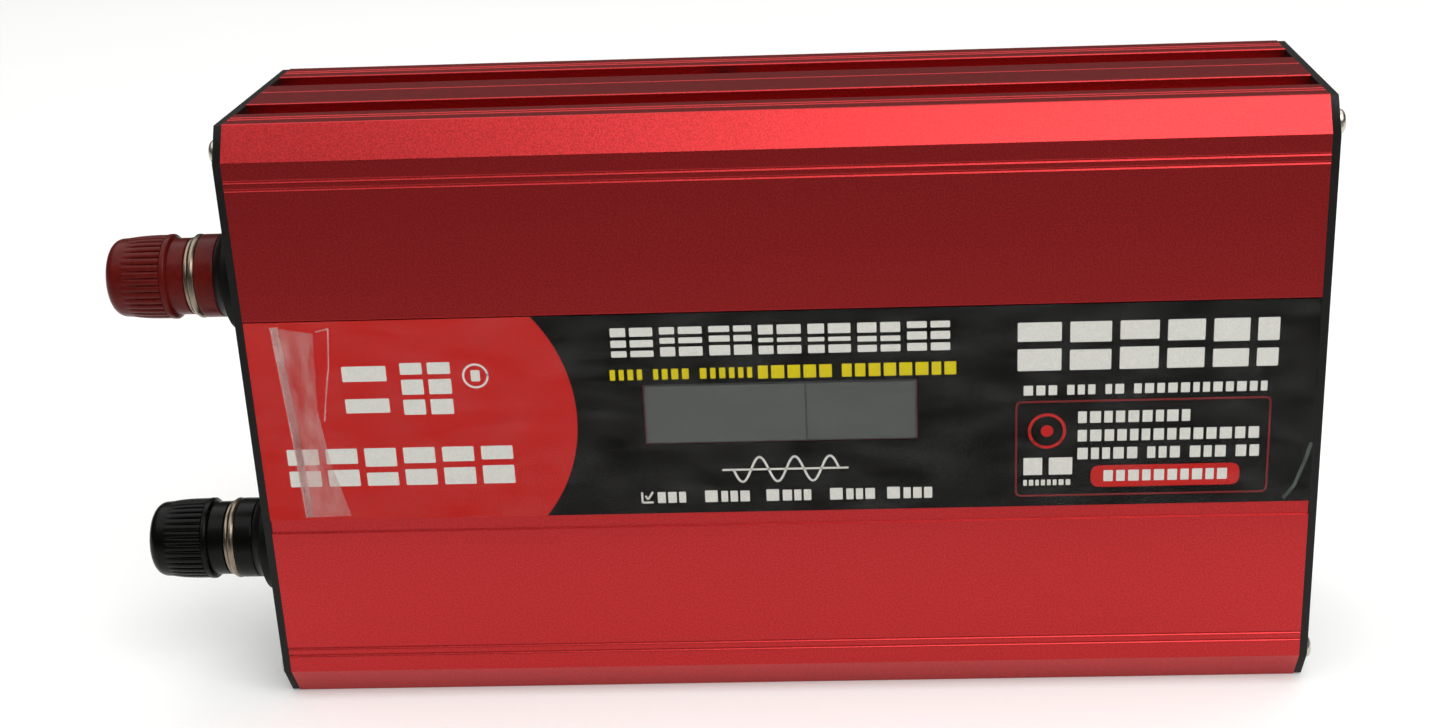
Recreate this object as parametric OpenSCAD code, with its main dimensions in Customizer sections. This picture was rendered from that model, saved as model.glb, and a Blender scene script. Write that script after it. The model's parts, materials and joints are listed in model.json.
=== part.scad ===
// Sine wave power inverter in an extruded case that stands on its long finned side.
// +X runs along the case towards the mains socket, -Y is the label face and +Z is up.
// The origin is at mid-length on the middle rib of the side that the case stands on.

/* [Case] */
// Length of the two extruded case shells
case_length = 256; // [240:1:320]
// Height of the case, across the broad faces
case_height = 150; // [148:1:190]
// Depth of the case, from the label face to the rear face
case_depth = 72; // [70:1:90]
// Wall of the broad faces
face_wall = 2.5; // [2:0.1:3]
// Wall left under the cooling grooves
side_wall = 3; // [2.5:0.1:4]
// Depth of the cooling grooves
groove_depth = 4; // [2.5:0.1:5]
// Width of a cooling groove
groove_width = 10; // [7:0.1:11]
// Distance from mid-depth to the start of a cooling groove
groove_inset = 10.3; // [9:0.1:11]
// Corner chamfer, measured up the broad faces
chamfer_rise = 8.1; // [6:0.1:9]
// Corner chamfer, measured in depth
chamfer_run = 5.1; // [4:0.1:6]
// Distance of the joint between the shells behind mid-depth
seam_offset = 2.6; // [1:0.1:5]
// Height and thickness of the tongue that locks the shells together
tongue_size = 2; // [1.5:0.1:2.5]
// Width of a scored line in the extrusion
line_width = 0.7; // [0.4:0.1:1]
// Distance of the outer scored line from a broad face's edge
face_line_inset = 12.7; // [10:0.1:16]
// Distance of the outer scored line from the corner on the finned sides
rib_line_inset = 9.5; // [8:0.1:10]
// Gap between the two scored lines of a pair
line_pair_gap = 2; // [1.5:0.1:3]
// Distance of a boss's screw hole from the outer faces
boss_inset = 7; // [6.5:0.1:8]
// Width of a screw boss
boss_size = 8; // [7:0.1:9]

/* [End plates] */
// Thickness of an end plate
plate_thickness = 2; // [1.5:0.1:3]
// Distance that an end plate stays inside the case's outline
plate_inset = 0.2; // [0:0.1:0.5]
// Radius of an end plate screw's shank
screw_r = 1.25; // [1:0.05:1.5]
// Radius of an end plate screw's head
screw_head_r = 3; // [2.5:0.1:3.3]
// Height of an end plate screw's head
screw_head_h = 2.2; // [1.5:0.1:2.5]
// Length of an end plate screw's shank
screw_length = 14; // [10:1:20]
// Width of the drive recess in a screw's head
drive_width = 0.8; // [0.6:0.1:1]

/* [Label and display] */
// Height of the shallow recess that holds the label
recess_height = 55.8; // [50:0.1:60]
// Depth of the label recess
recess_depth = 0.5; // [0.45:0.05:0.8]
// Height of the printed label
label_height = 52; // [45:0.1:54]
// Thickness of the printed label
label_thickness = 0.3; // [0.2:0.02:0.32]
// Thickness of the clear film over the label
film_thickness = 0.1; // [0.05:0.01:0.12]
// Width of the display window
window_width = 66; // [50:0.5:80]
// Height of the display window
window_height = 15.6; // [12:0.2:19]
// Height of the display window's centre above the case's middle
window_rise = 1.8; // [-6:0.1:6]
// Thickness of the liquid crystal cell in its frame
cell_thickness = 6; // [4:0.2:8]
// Border of the cell's frame around the window
cell_border = 6; // [4:0.5:8]
// Width of the flat cable behind the display
ribbon_width = 10; // [6:1:14]
// Thickness of the flat cable
ribbon_thickness = 1; // [0.8:0.1:1.5]
// Distance of the flat cable from mid-length
ribbon_offset = 14; // [12:1:16]

/* [Binding posts] */
// Distance between the two binding posts
post_spacing = 70.7; // [66:0.1:90]
// Distance of the binding posts behind the label face
post_inset = 14.5; // [14:0.1:16]
// Radius of a binding post's stud
stud_r = 4; // [3:0.1:5]
// Thread pitch of the stud
thread_pitch = 1.25; // [1:0.05:1.5]
// Length of the stud inside the case
stud_inside = 14; // [13:0.5:18]
// Length of the stud in front of its contact ring
stud_reach = 15; // [12:0.5:16]
// Radius of the black insulating flange
flange_r = 13.3; // [12.5:0.1:14]
// Thickness of the flange's rim
flange_rim = 2.4; // [1.5:0.1:3]
// Thickness of the flange's cone
flange_cone = 2.8; // [2:0.1:4]
// Radius of the coloured collar
collar_r = 10.2; // [8:0.1:11]
// Length of the coloured collar in front of the flange
collar_length = 4.8; // [3:0.1:7]
// Radius of the spigot that passes through the end plate
spigot_r = 6; // [5.5:0.1:7]
// Thickness of the metal contact ring
ring_thickness = 1.7; // [1:0.1:2.5]
// Thickness of the loose clamp washer
washer_thickness = 0.8; // [0.6:0.1:1.2]
// Radius of the loose clamp washer
washer_r = 9.6; // [8:0.1:10.2]
// Length of the knob
knob_length = 19.6; // [18:0.1:24]
// Largest radius of the knob's ribbed grip
knob_r = 10.2; // [9:0.1:11.5]
// Radius of the grip at its outer end
knob_tip_r = 9.5; // [8.5:0.1:10]
// Length of the knob's smooth neck
neck_length = 4.3; // [3:0.1:6]
// Radius of the knob's smooth neck
neck_r = 9.4; // [8.5:0.1:10]
// Width of the raised ring between the neck and the grip
skirt_width = 1.6; // [1:0.1:2.5]
// Radius of the knob's rounded edge
knob_edge_r = 3; // [1.5:0.1:3.5]
// Wall at the closed end of the knob
knob_cap = 2.4; // [2:0.1:3]
// Number of flutes around the grip
flute_count = 26; // [16:1:32]
// Radius of a flute
flute_r = 0.7; // [0.5:0.05:0.9]
// Thickness of the insulating washer inside the plate
inner_washer_thickness = 2; // [1.5:0.1:3]
// Radius of the insulating washer inside the plate
inner_washer_r = 9; // [8.5:0.1:10]
// Height of the nut behind the plate
nut_height = 6.5; // [5:0.1:7]
// Width of the nut across its flats
nut_flats = 13; // [12:0.1:14]
// Thickness of a cable lug's ring
lug_thickness = 1.6; // [1:0.1:2]
// Radius of a cable lug's ring
lug_r = 7.6; // [7:0.1:8.5]
// Length of a cable lug's barrel
lug_barrel = 10; // [8:0.5:12]
// Radius of the battery cable
cable_r = 3.1; // [2.5:0.1:3.5]

/* [Fan] */
// Width of the square fan
fan_size = 50; // [40:0.5:50]
// Depth of the fan
fan_depth = 15; // [13:0.5:16]
// Distance of the fan's centre behind mid-depth
fan_offset = 7; // [5:0.1:8]
// Distance from the fan's edge to its screw holes
fan_screw_inset = 5; // [4:0.1:6]
// Wall of the fan's duct at its narrowest
fan_wall = 1.5; // [1.2:0.1:2.5]
// Radius of the impeller's hub
hub_r = 9.5; // [8:0.1:11]
// Number of impeller blades
blade_count = 7; // [5:1:9]
// Angle of the blades to the airflow
blade_angle = 52; // [45:1:58]
// Thickness of a blade
blade_thickness = 1.2; // [0.8:0.1:1.5]
// Width of the grille's slots and bars
grille_slot = 3.4; // [2.5:0.1:4]
// Radius of the fan's shaft
shaft_r = 1.5; // [1:0.1:2]

/* [Mains end] */
// Width of the mains socket's face
socket_size = 46; // [40:0.5:52]
// Height of the socket's centre above the case's middle
socket_rise = 33; // [30:0.5:36]
// Thickness of the socket's face in front of the plate
socket_face = 2.5; // [2:0.1:4]
// Border of the socket's face around its body
socket_border = 3; // [2:0.1:4]
// Depth of the socket's body behind the plate
socket_depth = 20; // [18:0.5:24]
// Depth of the pin holes
pin_hole_depth = 17; // [15:0.5:19]
// Spacing of the two current pin holes
pin_spacing = 16; // [13:0.5:20]
// Width of a pin hole
pin_hole_width = 7; // [6:0.1:8]
// Height of a pin hole
pin_hole_height = 4.8; // [4.4:0.1:5.5]
// Height of the switch's frame
switch_height = 30; // [28:0.5:34]
// Width of the switch's frame
switch_width = 20; // [18:0.5:22]
// Distance of the switch behind mid-depth
switch_offset = 12; // [10:0.5:14]
// Drop of the switch below the case's middle
switch_drop = 13; // [12:0.5:16]
// Border of the switch's frame around its rocker
switch_border = 1.8; // [1.5:0.1:2.2]
// Depth of the switch behind the plate
switch_depth = 18; // [16:0.5:22]
// Tilt of the rocker to each side of its middle
rocker_tilt = 10; // [8:1:12]
// Width of the charging socket
usb_width = 14; // [13:0.1:15]
// Height of the charging socket
usb_height = 6.8; // [6.4:0.1:7.5]
// Depth of the charging socket
usb_depth = 16; // [14:0.5:18]
// Wall of the charging socket's metal shell
usb_wall = 0.6; // [0.4:0.1:0.8]
// Distance of the charging socket before mid-depth
usb_offset = 15; // [14:0.5:17]
// Radius of an indicator light
light_r = 2.5; // [2:0.1:3]
// Width of a vent slot
vent_width = 4; // [2.5:0.1:5]
// Length of a vent slot
vent_length = 22; // [14:0.5:26]
// Number of vent slots
vent_count = 6; // [4:1:6]

/* [Circuit board] */
// Thickness of the main board
board_thickness = 1.6; // [1.2:0.1:2]
// Distance of the main board's front behind mid-depth
board_offset = 22; // [22:0.1:23]
// Depth of the slots that hold the board's edges
board_slot = 2; // [1:0.1:2.2]
// Gap between the fan and the main board
board_fan_gap = 8; // [4:0.5:12]
// Gap between the main board and the mains end plate
board_plate_gap = 10; // [6:0.5:16]
// Width of a transformer's core
core_width = 42; // [36:0.5:46]
// Thickness of a transformer's core
core_thickness = 18; // [14:0.5:24]
// Height of a transformer's core
core_height = 36; // [30:0.5:42]
// Radius of a core's centre leg
core_leg_r = 6; // [5:0.1:7]
// Spacing of the two transformers
transformer_spacing = 48; // [47:0.5:50]
// Radius of an input capacitor
input_cap_r = 8; // [6:0.1:8.5]
// Height of an input capacitor
input_cap_h = 30; // [20:0.5:36]
// Spacing of the input capacitors
input_cap_pitch = 18; // [17.5:0.1:20]
// Radius of a bus capacitor
bus_cap_r = 11; // [9:0.1:12]
// Height of a bus capacitor
bus_cap_h = 38; // [30:0.5:40]
// Outer radius of the output choke's core
choke_r = 20; // [16:0.5:22]
// Width of the choke core's ring
choke_width = 8; // [6:0.5:9]
// Height of the choke's core
choke_height = 16; // [12:0.5:20]
// Thickness of the choke's winding
choke_wire = 2; // [1.5:0.1:2.5]
// Width of a power transistor
transistor_width = 10; // [9:0.1:11]
// Thickness of a power transistor
transistor_thickness = 4.5; // [4:0.1:5]
// Height of a power transistor's body
transistor_height = 12; // [10:0.5:12.5]
// Spacing of the power transistors
transistor_pitch = 13; // [12:0.1:14]
// Thickness of the insulating strip behind the transistors
insulator_thickness = 0.4; // [0.2:0.1:0.8]
// Thickness of the bar that clamps the transistors
clamp_thickness = 4; // [3:0.1:5]
// Number of transistors on each side of a clamp screw on the battery side
input_pairs = 4; // [2:1:4]
// Number of transistors on each side of a clamp screw on the mains side
output_pairs = 2; // [1:1:4]
// Distance of the upper clamp screw before mid-length
upper_screw_x = -13.5; // [-20:0.5:-5]
// Distance of the lower clamp screw beyond mid-length
lower_screw_x = 4; // [-5:0.5:20]

/* [Hidden] */
$fn = 48;
// Clearance between a fixed piece and the hole that it fits in
fit = 0.1;
// Radial clearance of what turns or slides on a shaft
running = 0.05;
// Overlap of a cut past the face that it opens
past = 1;
half_length = case_length / 2;
half_depth = case_depth / 2;
mid_height = case_height / 2;
face_inner = half_depth - face_wall;
side_low = groove_depth + side_wall;
side_high = case_height - side_low;
plate_outer = half_length + plate_thickness;
groove_middle = groove_inset + groove_width / 2;
recess_low = mid_height - recess_height / 2;
// How far the label and the lights sit from the middle of the case's height
label_rise = 1.6;
lights_drop = 26;
label_low = mid_height - label_height / 2 + label_rise;
label_back = -half_depth + recess_depth;
label_front = label_back - label_thickness;
window_z = mid_height + window_rise;
window_right = window_width / 2;
cell_back = -face_inner + cell_thickness;
display_back = cell_back + board_thickness;
post_y = -half_depth + post_inset;
post_heights = [mid_height + post_spacing / 2, mid_height - post_spacing / 2];
flange_end = flange_rim + flange_cone;
collar_end = flange_end + collar_length;
ring_end = collar_end + ring_thickness;
washer_start = ring_end + fit;
knob_start = washer_start + washer_thickness + fit;
knob_end = knob_start + knob_length;
skirt_start = knob_start + neck_length;
grip_start = skirt_start + skirt_width;
lug_start = half_length - inner_washer_thickness;
lug_end = lug_start - lug_thickness;
nut_end = lug_end - nut_height;
// Thickness of the cable lugs' crimped barrels
crimp_wall = 1.4;
barrel_r = cable_r + crimp_wall;
barrel_x = -half_length + barrel_r + 0.6;
barrel_start = post_y + nut_flats / 2 + 2.5;
barrel_end = barrel_start + lug_barrel;
board_left = -half_length + fan_depth + board_fan_gap;
board_right = half_length - board_plate_gap;
board_back = board_offset + board_thickness;
duct_r = fan_size / 2 - fan_wall;
fan_inner = -half_length + fan_depth;
strut_depth = 3;
impeller_gap = 0.8;
impeller_inner = fan_inner - strut_depth - impeller_gap;
impeller_outer = -half_length + impeller_gap;
cap_x = board_left + 12;
transformer_x = board_left + 46;
transistor_front = board_offset - 3 - transistor_height;
choke_x = board_right - 42;
bus_cap_x = choke_x - choke_r - bus_cap_r - 6;
socket_z = mid_height + socket_rise;
switch_z = mid_height - switch_drop;
usb_z = mid_height - 4;
lights_z = mid_height - lights_drop;
vent_z = side_low + boss_size;
rocker_pivot_x = plate_outer - 2;
rocker_pin_r = 1.2;
rocker_half = switch_height / 2 - switch_border - 1.2;
// Thickness of the ferrite cores' front and back bars, and of their two sides
core_yoke = 6;
core_side = 4.5;
// Radius of the mains wires, and their distance apart
mains_wire_r = 1.4;
mains_wire_pitch = 8;
// Distance of the two indicator lights from each other, and how far the switch's rim stands out
light_pitch = 10;
switch_rim = 1.5;

// Extrudes a section drawn in Y and Z from x0 to x1.
module along_x(x0, x1) {
    translate([x0, 0, 0])
        rotate([90, 0, 90])
            linear_extrude(x1 - x0)
                children();
}

// Extrudes a section drawn in X and Z from y0 to y1.
module along_y(y0, y1) {
    translate([0, y1, 0])
        rotate([90, 0, 0])
            linear_extrude(y1 - y0)
                children();
}

// Round bar along X from x0 to x1.
module bar_x(x0, x1, r) {
    translate([x0, 0, 0])
        rotate([0, 90, 0])
            cylinder(h = x1 - x0, r = r);
}

// Round bar along Y from y0 to y1.
module bar_y(y0, y1, r) {
    translate([0, y1, 0])
        rotate([90, 0, 0])
            cylinder(h = y1 - y0, r = r);
}

// Turns a profile of radius and distance around the X axis, with distance running towards -X.
module turned() {
    rotate([0, -90, 0])
        rotate_extrude()
            children();
}

// Ring around the turning axis, between two distances and two radii.
module ring_profile(d0, d1, r0, r1) {
    translate([r0, d0])
        square([r1 - r0, d1 - d0]);
}

// Rectangle with round corners, centred.
module rounded_rect(w, h, r) {
    square([w - 2 * r, h], center = true);
    square([w, h - 2 * r], center = true);
    for (sx = [-1, 1], sy = [-1, 1])
        translate([sx * (w / 2 - r), sy * (h / 2 - r)])
            circle(r);
}

// Route with its corners rounded: p is a list of points in one plane of constant height.
function smooth_route(p, steps) = concat(
    [p[0]],
    [for (k = [1 : len(p) - 2], i = [0 : steps - 1]) bend_point(p[k - 1], p[k], p[k + 1], i / steps)],
    [(p[len(p) - 2] + p[len(p) - 1]) / 2, p[len(p) - 1]]
);

// Point at share t of the bend around b, between the middles of its two legs.
function bend_point(a, b, c, t) =
    (1 - t) * (1 - t) * (a + b) / 2 + 2 * t * (1 - t) * b + t * t * (b + c) / 2;

// Direction of a route at its point i.
function heading(q, i) =
    let (run = q[min(i + 1, len(q) - 1)] - q[max(i - 1, 0)])
    run / norm(run);

// Wire swept along a level route, as one solid.
module wire(points, r) {
    sides = 10;
    q = smooth_route(points, 5);
    rings = [
        for (i = [0 : len(q) - 1], k = [0 : sides - 1])
            q[i] + r * (cos(k * 360 / sides) * [0, 0, 1]
                + sin(k * 360 / sides) * cross([0, 0, 1], heading(q, i)))
    ];
    walls = [
        for (i = [0 : len(q) - 2], k = [0 : sides - 1])
            let (a = i * sides + k, b = i * sides + (k + 1) % sides)
            [a, a + sides, b + sides, b]
    ];
    start = [for (k = [0 : sides - 1]) k];
    end = [for (k = [sides - 1 : -1 : 0]) (len(q) - 1) * sides + k];
    polyhedron(rings, concat([start], walls, [end]), convexity = 4);
}

// Screw along +X: its head's underside is at the origin and its shank runs towards +X.
module pan_screw(length, r, head_r, head_h) {
    difference() {
        union() {
            bar_x(0, length, r);
            bar_x(-head_h, 0, head_r);
        }
        for (turn = [0, 90])
            rotate([turn, 0, 0])
                translate([-head_h - past, -head_r * 0.65, -drive_width / 2])
                    cube([past + head_h / 2, head_r * 1.3, drive_width]);
    }
}

// Outline of the case in Y and Z.
module case_outline(inset) {
    y = half_depth - inset;
    high = case_height - inset;
    polygon([
        [-y, inset + chamfer_rise],
        [-y, high - chamfer_rise],
        [-y + chamfer_run, high],
        [y - chamfer_run, high],
        [y, high - chamfer_rise],
        [y, inset + chamfer_rise],
        [y - chamfer_run, inset],
        [-y + chamfer_run, inset]
    ]);
}

// Places children at the four corner screws, in Y and Z.
module at_bosses() {
    for (y = [-half_depth + boss_inset, half_depth - boss_inset])
        for (z = [boss_inset, case_height - boss_inset])
            translate([y, z])
                children();
}

// Places children on the lower finned side and, mirrored, on the upper one.
module both_sides() {
    children();
    translate([0, case_height])
        mirror([0, 1])
            children();
}

// Space inside the case, with a step in each corner that leaves a screw boss.
module interior_outline() {
    y = face_inner;
    step_y = y - boss_size;
    low_step = side_low + boss_size / 2;
    high_step = side_high - boss_size / 2;
    polygon([
        [-y, low_step],
        [-y, high_step],
        [-step_y, high_step],
        [-step_y, side_high],
        [step_y, side_high],
        [step_y, high_step],
        [y, high_step],
        [y, low_step],
        [step_y, low_step],
        [step_y, side_low],
        [-step_y, side_low],
        [-step_y, low_step]
    ]);
}

// Section of both shells together, in Y and Z.
module case_section() {
    difference() {
        case_outline(0);
        interior_outline();
        both_sides()
            side_details();
        translate([-half_depth - past, recess_low])
            square([recess_depth + past, recess_height]);
        at_bosses()
            circle(screw_r + running);
    }
}

// What is cut from one finned side: grooves, board slot and scored lines.
module side_details() {
    for (s = [-1, 1]) {
        translate([s * groove_middle - groove_width / 2, -past])
            square([groove_width, groove_depth + past]);
        for (i = [0, 1])
            scored_line(s * (half_depth - rib_line_inset - i * line_pair_gap), 0);
        for (i = [0, 1])
            scored_line(s * half_depth, face_line_inset + i * line_pair_gap);
    }
    translate([board_offset - fit, side_low - board_slot])
        square([board_thickness + 2 * fit, board_slot + past]);
}

// Fine V-shaped line cut into the surface at y, z.
module scored_line(y, z) {
    translate([y, z])
        rotate(45)
            square(line_width / sqrt(2), center = true);
}

// Everything in front of the joint between the shells, with the locking tongues grown by gap.
module front_part(gap) {
    tip = seam_offset + tongue_size + gap;
    reach = tongue_size / 2 + gap;
    low = side_low / 2;
    high = case_height - low;
    polygon([
        [-case_depth, -past],
        [seam_offset, -past],
        [seam_offset, low - reach],
        [tip, low - reach],
        [tip, low + reach],
        [seam_offset, low + reach],
        [seam_offset, high - reach],
        [tip, high - reach],
        [tip, high + reach],
        [seam_offset, high + reach],
        [seam_offset, case_height + past],
        [-case_depth, case_height + past]
    ]);
}

module front_shell() {
    color("firebrick")
        difference() {
            along_x(-half_length, half_length)
                intersection() {
                    case_section();
                    front_part(0);
                }
            along_y(-half_depth - past, -face_inner + past)
                translate([0, window_z])
                    square([window_width, window_height], center = true);
        }
}

module rear_shell() {
    color("firebrick")
        difference() {
            along_x(-half_length, half_length)
                difference() {
                    case_section();
                    front_part(fit);
                }
            for (spot = [[lower_screw_x, -past], [upper_screw_x, side_high - past]])
                translate([spot[0], groove_middle, spot[1]])
                    cylinder(h = side_low + 2 * past, r = screw_r + fit);
        }
}

module battery_end_plate() {
    color("#16181a")
        along_x(-plate_outer, -half_length)
            difference() {
                case_outline(plate_inset);
                at_bosses()
                    circle(screw_r + fit);
                for (z = post_heights)
                    translate([post_y, z])
                        circle(spigot_r + fit);
                translate([fan_offset, mid_height])
                    fan_grille();
            }
}

// Grille slots and screw holes of the fan, around its centre.
module fan_grille() {
    difference() {
        for (r = [duct_r : -2 * grille_slot : 2 * grille_slot])
            difference() {
                circle(r);
                circle(r - grille_slot);
            }
        for (turn = [45, 135])
            rotate(turn)
                square([fan_size * 2, grille_slot], center = true);
    }
    at_fan_screws()
        circle(screw_r + fit);
}

// Places children at the fan's four screws, around its centre.
module at_fan_screws() {
    reach = fan_size / 2 - fan_screw_inset;
    for (sy = [-1, 1], sz = [-1, 1])
        translate([sy * reach, sz * reach])
            children();
}

module mains_end_plate() {
    color("#16181a")
        along_x(half_length, plate_outer)
            difference() {
                case_outline(plate_inset);
                at_bosses()
                    circle(screw_r + fit);
                translate([0, socket_z])
                    rounded_rect(socket_body() + 2 * fit, socket_body() + 2 * fit, 3);
                translate([switch_offset, switch_z])
                    square([switch_body_w() + 2 * fit, switch_body_h() + 2 * fit], center = true);
                translate([-usb_offset, usb_z])
                    square([usb_width + 2 * fit, usb_height + 2 * fit], center = true);
                for (y = light_places())
                    translate([y, lights_z])
                        circle(light_r + fit);
                vent_slots();
            }
}

// Row of upright vent slots near the lower edge of the mains end plate.
module vent_slots() {
    pitch = 2 * vent_width;
    for (i = [0 : vent_count - 1])
        translate([(i - (vent_count - 1) / 2) * pitch, vent_z + vent_length / 2])
            rounded_rect(vent_width, vent_length, vent_width / 2 - 0.1);
}

function socket_body() = socket_size - 2 * socket_border;
function switch_body_w() = switch_width - 1.6;
function switch_body_h() = switch_height - 1.6;
function light_places() = [-usb_offset - light_pitch / 2, -usb_offset + light_pitch / 2];

module end_plate_screws() {
    color("silver")
        for (s = [-1, 1])
            for (y = [-half_depth + boss_inset, half_depth - boss_inset])
                for (z = [boss_inset, case_height - boss_inset])
                    translate([s * plate_outer, y, z])
                        rotate([0, 0, s > 0 ? 180 : 0])
                            pan_screw(screw_length, screw_r, screw_head_r, screw_head_h);
}

// Screws that pull the clamp bars towards the finned sides.
module clamp_screws() {
    reach = side_wall + insulator_thickness + transistor_thickness + clamp_thickness;
    color("dimgray") {
        translate([upper_screw_x, groove_middle, case_height - groove_depth])
            rotate([0, 90, 0])
                pan_screw(reach, screw_r, screw_head_r, screw_head_h);
        translate([lower_screw_x, groove_middle, groove_depth])
            rotate([0, -90, 0])
                pan_screw(reach, screw_r, screw_head_r, screw_head_h);
    }
}

// Section of the label and its film, in X and Z.
module label_section() {
    difference() {
        translate([-half_length, label_low])
            square([case_length, label_height]);
        translate([0, window_z])
            square([window_width, window_height], center = true);
    }
}

module front_label() {
    color("#1e211e")
        along_y(label_front, label_back)
            label_section();
}

module protective_film() {
    color("#d8c8c8", 0.3)
        along_y(label_front - film_thickness, label_front)
            translate([-half_length, label_low])
                square([case_length, label_height]);
}

module display_window() {
    color("#565b56")
        along_y(label_front, -face_inner)
            translate([0, window_z])
                square([window_width - 2 * fit, window_height - 2 * fit], center = true);
}

module display_cell() {
    color("#3a3f3a")
        along_y(-face_inner, cell_back)
            translate([0, window_z])
                square([window_width + 2 * cell_border, window_height + 2 * cell_border], center = true);
}

module display_board() {
    color("darkgreen")
        along_y(cell_back, display_back)
            translate([0, window_z])
                square([window_width + 2 * cell_border + 4, window_height + 2 * cell_border], center = true);
}

module display_ribbon() {
    low = window_z - window_height / 2 - cell_border + 1;
    color("lightgray")
        translate([ribbon_offset, display_back, low])
            cube([ribbon_width, board_offset - display_back, ribbon_thickness]);
}

module main_board() {
    edge = board_slot - fit;
    color("darkgreen")
        along_y(board_offset, board_back)
            translate([board_left, side_low - edge])
                square([board_right - board_left, side_high - side_low + 2 * edge]);
}

// Upright control board with its chips.
module driver_board() {
    length = 44;
    height = 26;
    color("darkgreen")
        translate([transformer_x - length / 2, board_offset - height, mid_height - 35]) {
            cube([length, height, board_thickness]);
            for (i = [0 : 2])
                translate([5 + i * 13, 6, board_thickness])
                    cube([8, 12, 2]);
        }
}

// Blade fuses in a row beside the battery cables.
module fuses() {
    body = [5, 12, 18];
    blade = [0.8, 4, 5];
    color("orange")
        for (i = [0 : 3])
            translate([cap_x + 16 + i * 9, board_offset - blade[1] - body[1], mid_height + 30]) {
                cube(body);
                for (z = [1, body[2] - blade[2] - 1])
                    translate([(body[0] - blade[0]) / 2, body[1], z])
                        cube([blade[0], blade[1], blade[2]]);
            }
}

// Ferrite core on the main board, with its centre leg across the board.
module transformer_core(x) {
    front = board_offset - core_height;
    low = mid_height - core_thickness / 2;
    color("#2e2e30") {
        for (y = [front, board_offset - core_yoke])
            translate([x - core_width / 2, y, low])
                cube([core_width, core_yoke, core_thickness]);
        for (dx = [0, core_width - core_side])
            translate([x - core_width / 2 + dx, front, low])
                cube([core_side, core_height, core_thickness]);
        translate([x, 0, mid_height])
            bar_y(front, board_offset, core_leg_r);
    }
}

// Wound bobbin around a core's centre leg.
module transformer_winding(x) {
    winding_r = core_width / 2 - core_side - 0.5;
    front = board_offset - core_height + core_yoke + fit;
    back = board_offset - core_yoke - fit;
    color("#c98a2b")
        translate([x, 0, mid_height])
            difference() {
                union() {
                    bar_y(front, front + 1.5, winding_r);
                    bar_y(front + 1, back - 1, winding_r - 1.5);
                    bar_y(back - 1.5, back, winding_r);
                }
                bar_y(front - past, back + past, core_leg_r + fit);
            }
}

module output_choke_core() {
    color("#c8c23a")
        translate([choke_x, 0, mid_height])
            difference() {
                bar_y(choke_front(), choke_front() + choke_height, choke_r);
                bar_y(choke_front() - past, choke_front() + choke_height + past, choke_r - choke_width);
            }
}

function choke_front() = board_offset - choke_wire - 0.5 - choke_height;

// Winding on the choke's ring, in two halves with a gap between them.
module output_choke_winding() {
    color("#b0622a")
        translate([choke_x, choke_front(), mid_height])
            rotate([-90, 0, 0])
                for (turn = [15, 195])
                    rotate(turn)
                        rotate_extrude(angle = 150)
                            difference() {
                                translate([choke_r - choke_width - choke_wire, -choke_wire])
                                    square([choke_width + 2 * choke_wire, choke_height + 2 * choke_wire]);
                                translate([choke_r - choke_width - fit, -fit])
                                    square([choke_width + 2 * fit, choke_height + 2 * fit]);
                            }
}

// Electrolytic capacitor on the main board, with the bead near its seal.
module capacitor(x, z, r, h) {
    translate([x, board_offset, z])
        rotate([90, 0, 0])
            rotate_extrude()
                difference() {
                    square([r, h]);
                    translate([r + 0.3, 4])
                        circle(1);
                }
}

module input_capacitor(i) {
    color("#2b3a55")
        capacitor(cap_x, mid_height + i * input_cap_pitch, input_cap_r, input_cap_h);
}

module bus_capacitor(s) {
    color("#26292b")
        capacitor(bus_cap_x, mid_height + s * (bus_cap_r + 2), bus_cap_r, bus_cap_h);
}

// Distances of a row's transistors from its clamp screw.
function row_places(pairs) =
    [for (s = [-1, 1], i = [0 : pairs - 1]) s * (transistor_pitch * (i + 0.65))];

// Row of power transistors against the lower finned side.
module transistor_row(x, pairs) {
    low = side_low + insulator_thickness;
    for (dx = row_places(pairs))
        translate([x + dx - transistor_width / 2, transistor_front, low]) {
            cube([transistor_width, transistor_height, transistor_thickness]);
            for (i = [-1, 0, 1])
                translate([transistor_width / 2 + i * 2.5 - 0.4, transistor_height, 1.5])
                    cube([0.8, 3, 0.8]);
        }
}

function row_reach(pairs) = transistor_pitch * (pairs - 0.35) + transistor_width / 2 + 2;

// Strip across a row of transistors, from one height to another, with its screw hole.
module row_strip(x, pairs, low, high) {
    reach = row_reach(pairs);
    difference() {
        translate([x - reach, transistor_front, low])
            cube([2 * reach, transistor_height, high - low]);
        translate([x, groove_middle, low - past])
            cylinder(h = high - low + 2 * past, r = screw_r + fit);
    }
}

// Turns what lies on the lower side over onto the upper side.
module on_upper_side() {
    translate([0, 0, case_height])
        mirror([0, 0, 1])
            children();
}

module insulator(x, pairs) {
    row_strip(x, pairs, side_low, side_low + insulator_thickness);
}

module clamp_bar(x, pairs) {
    low = side_low + insulator_thickness + transistor_thickness;
    row_strip(x, pairs, low, low + clamp_thickness);
}

module input_transistors() {
    color("#202224")
        on_upper_side()
            transistor_row(upper_screw_x, input_pairs);
}

module output_transistors() {
    color("#202224")
        transistor_row(lower_screw_x, output_pairs);
}

module input_insulator() {
    color("lightsteelblue")
        on_upper_side()
            insulator(upper_screw_x, input_pairs);
}

module output_insulator() {
    color("lightsteelblue")
        insulator(lower_screw_x, output_pairs);
}

module input_clamp_bar() {
    color("silver")
        on_upper_side()
            clamp_bar(upper_screw_x, input_pairs);
}

module output_clamp_bar() {
    color("silver")
        clamp_bar(lower_screw_x, output_pairs);
}

// Places a binding post's pieces: distance 0 is the end plate's outer face.
module at_post(i) {
    translate([-plate_outer, post_y, post_heights[i]])
        children();
}

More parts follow.
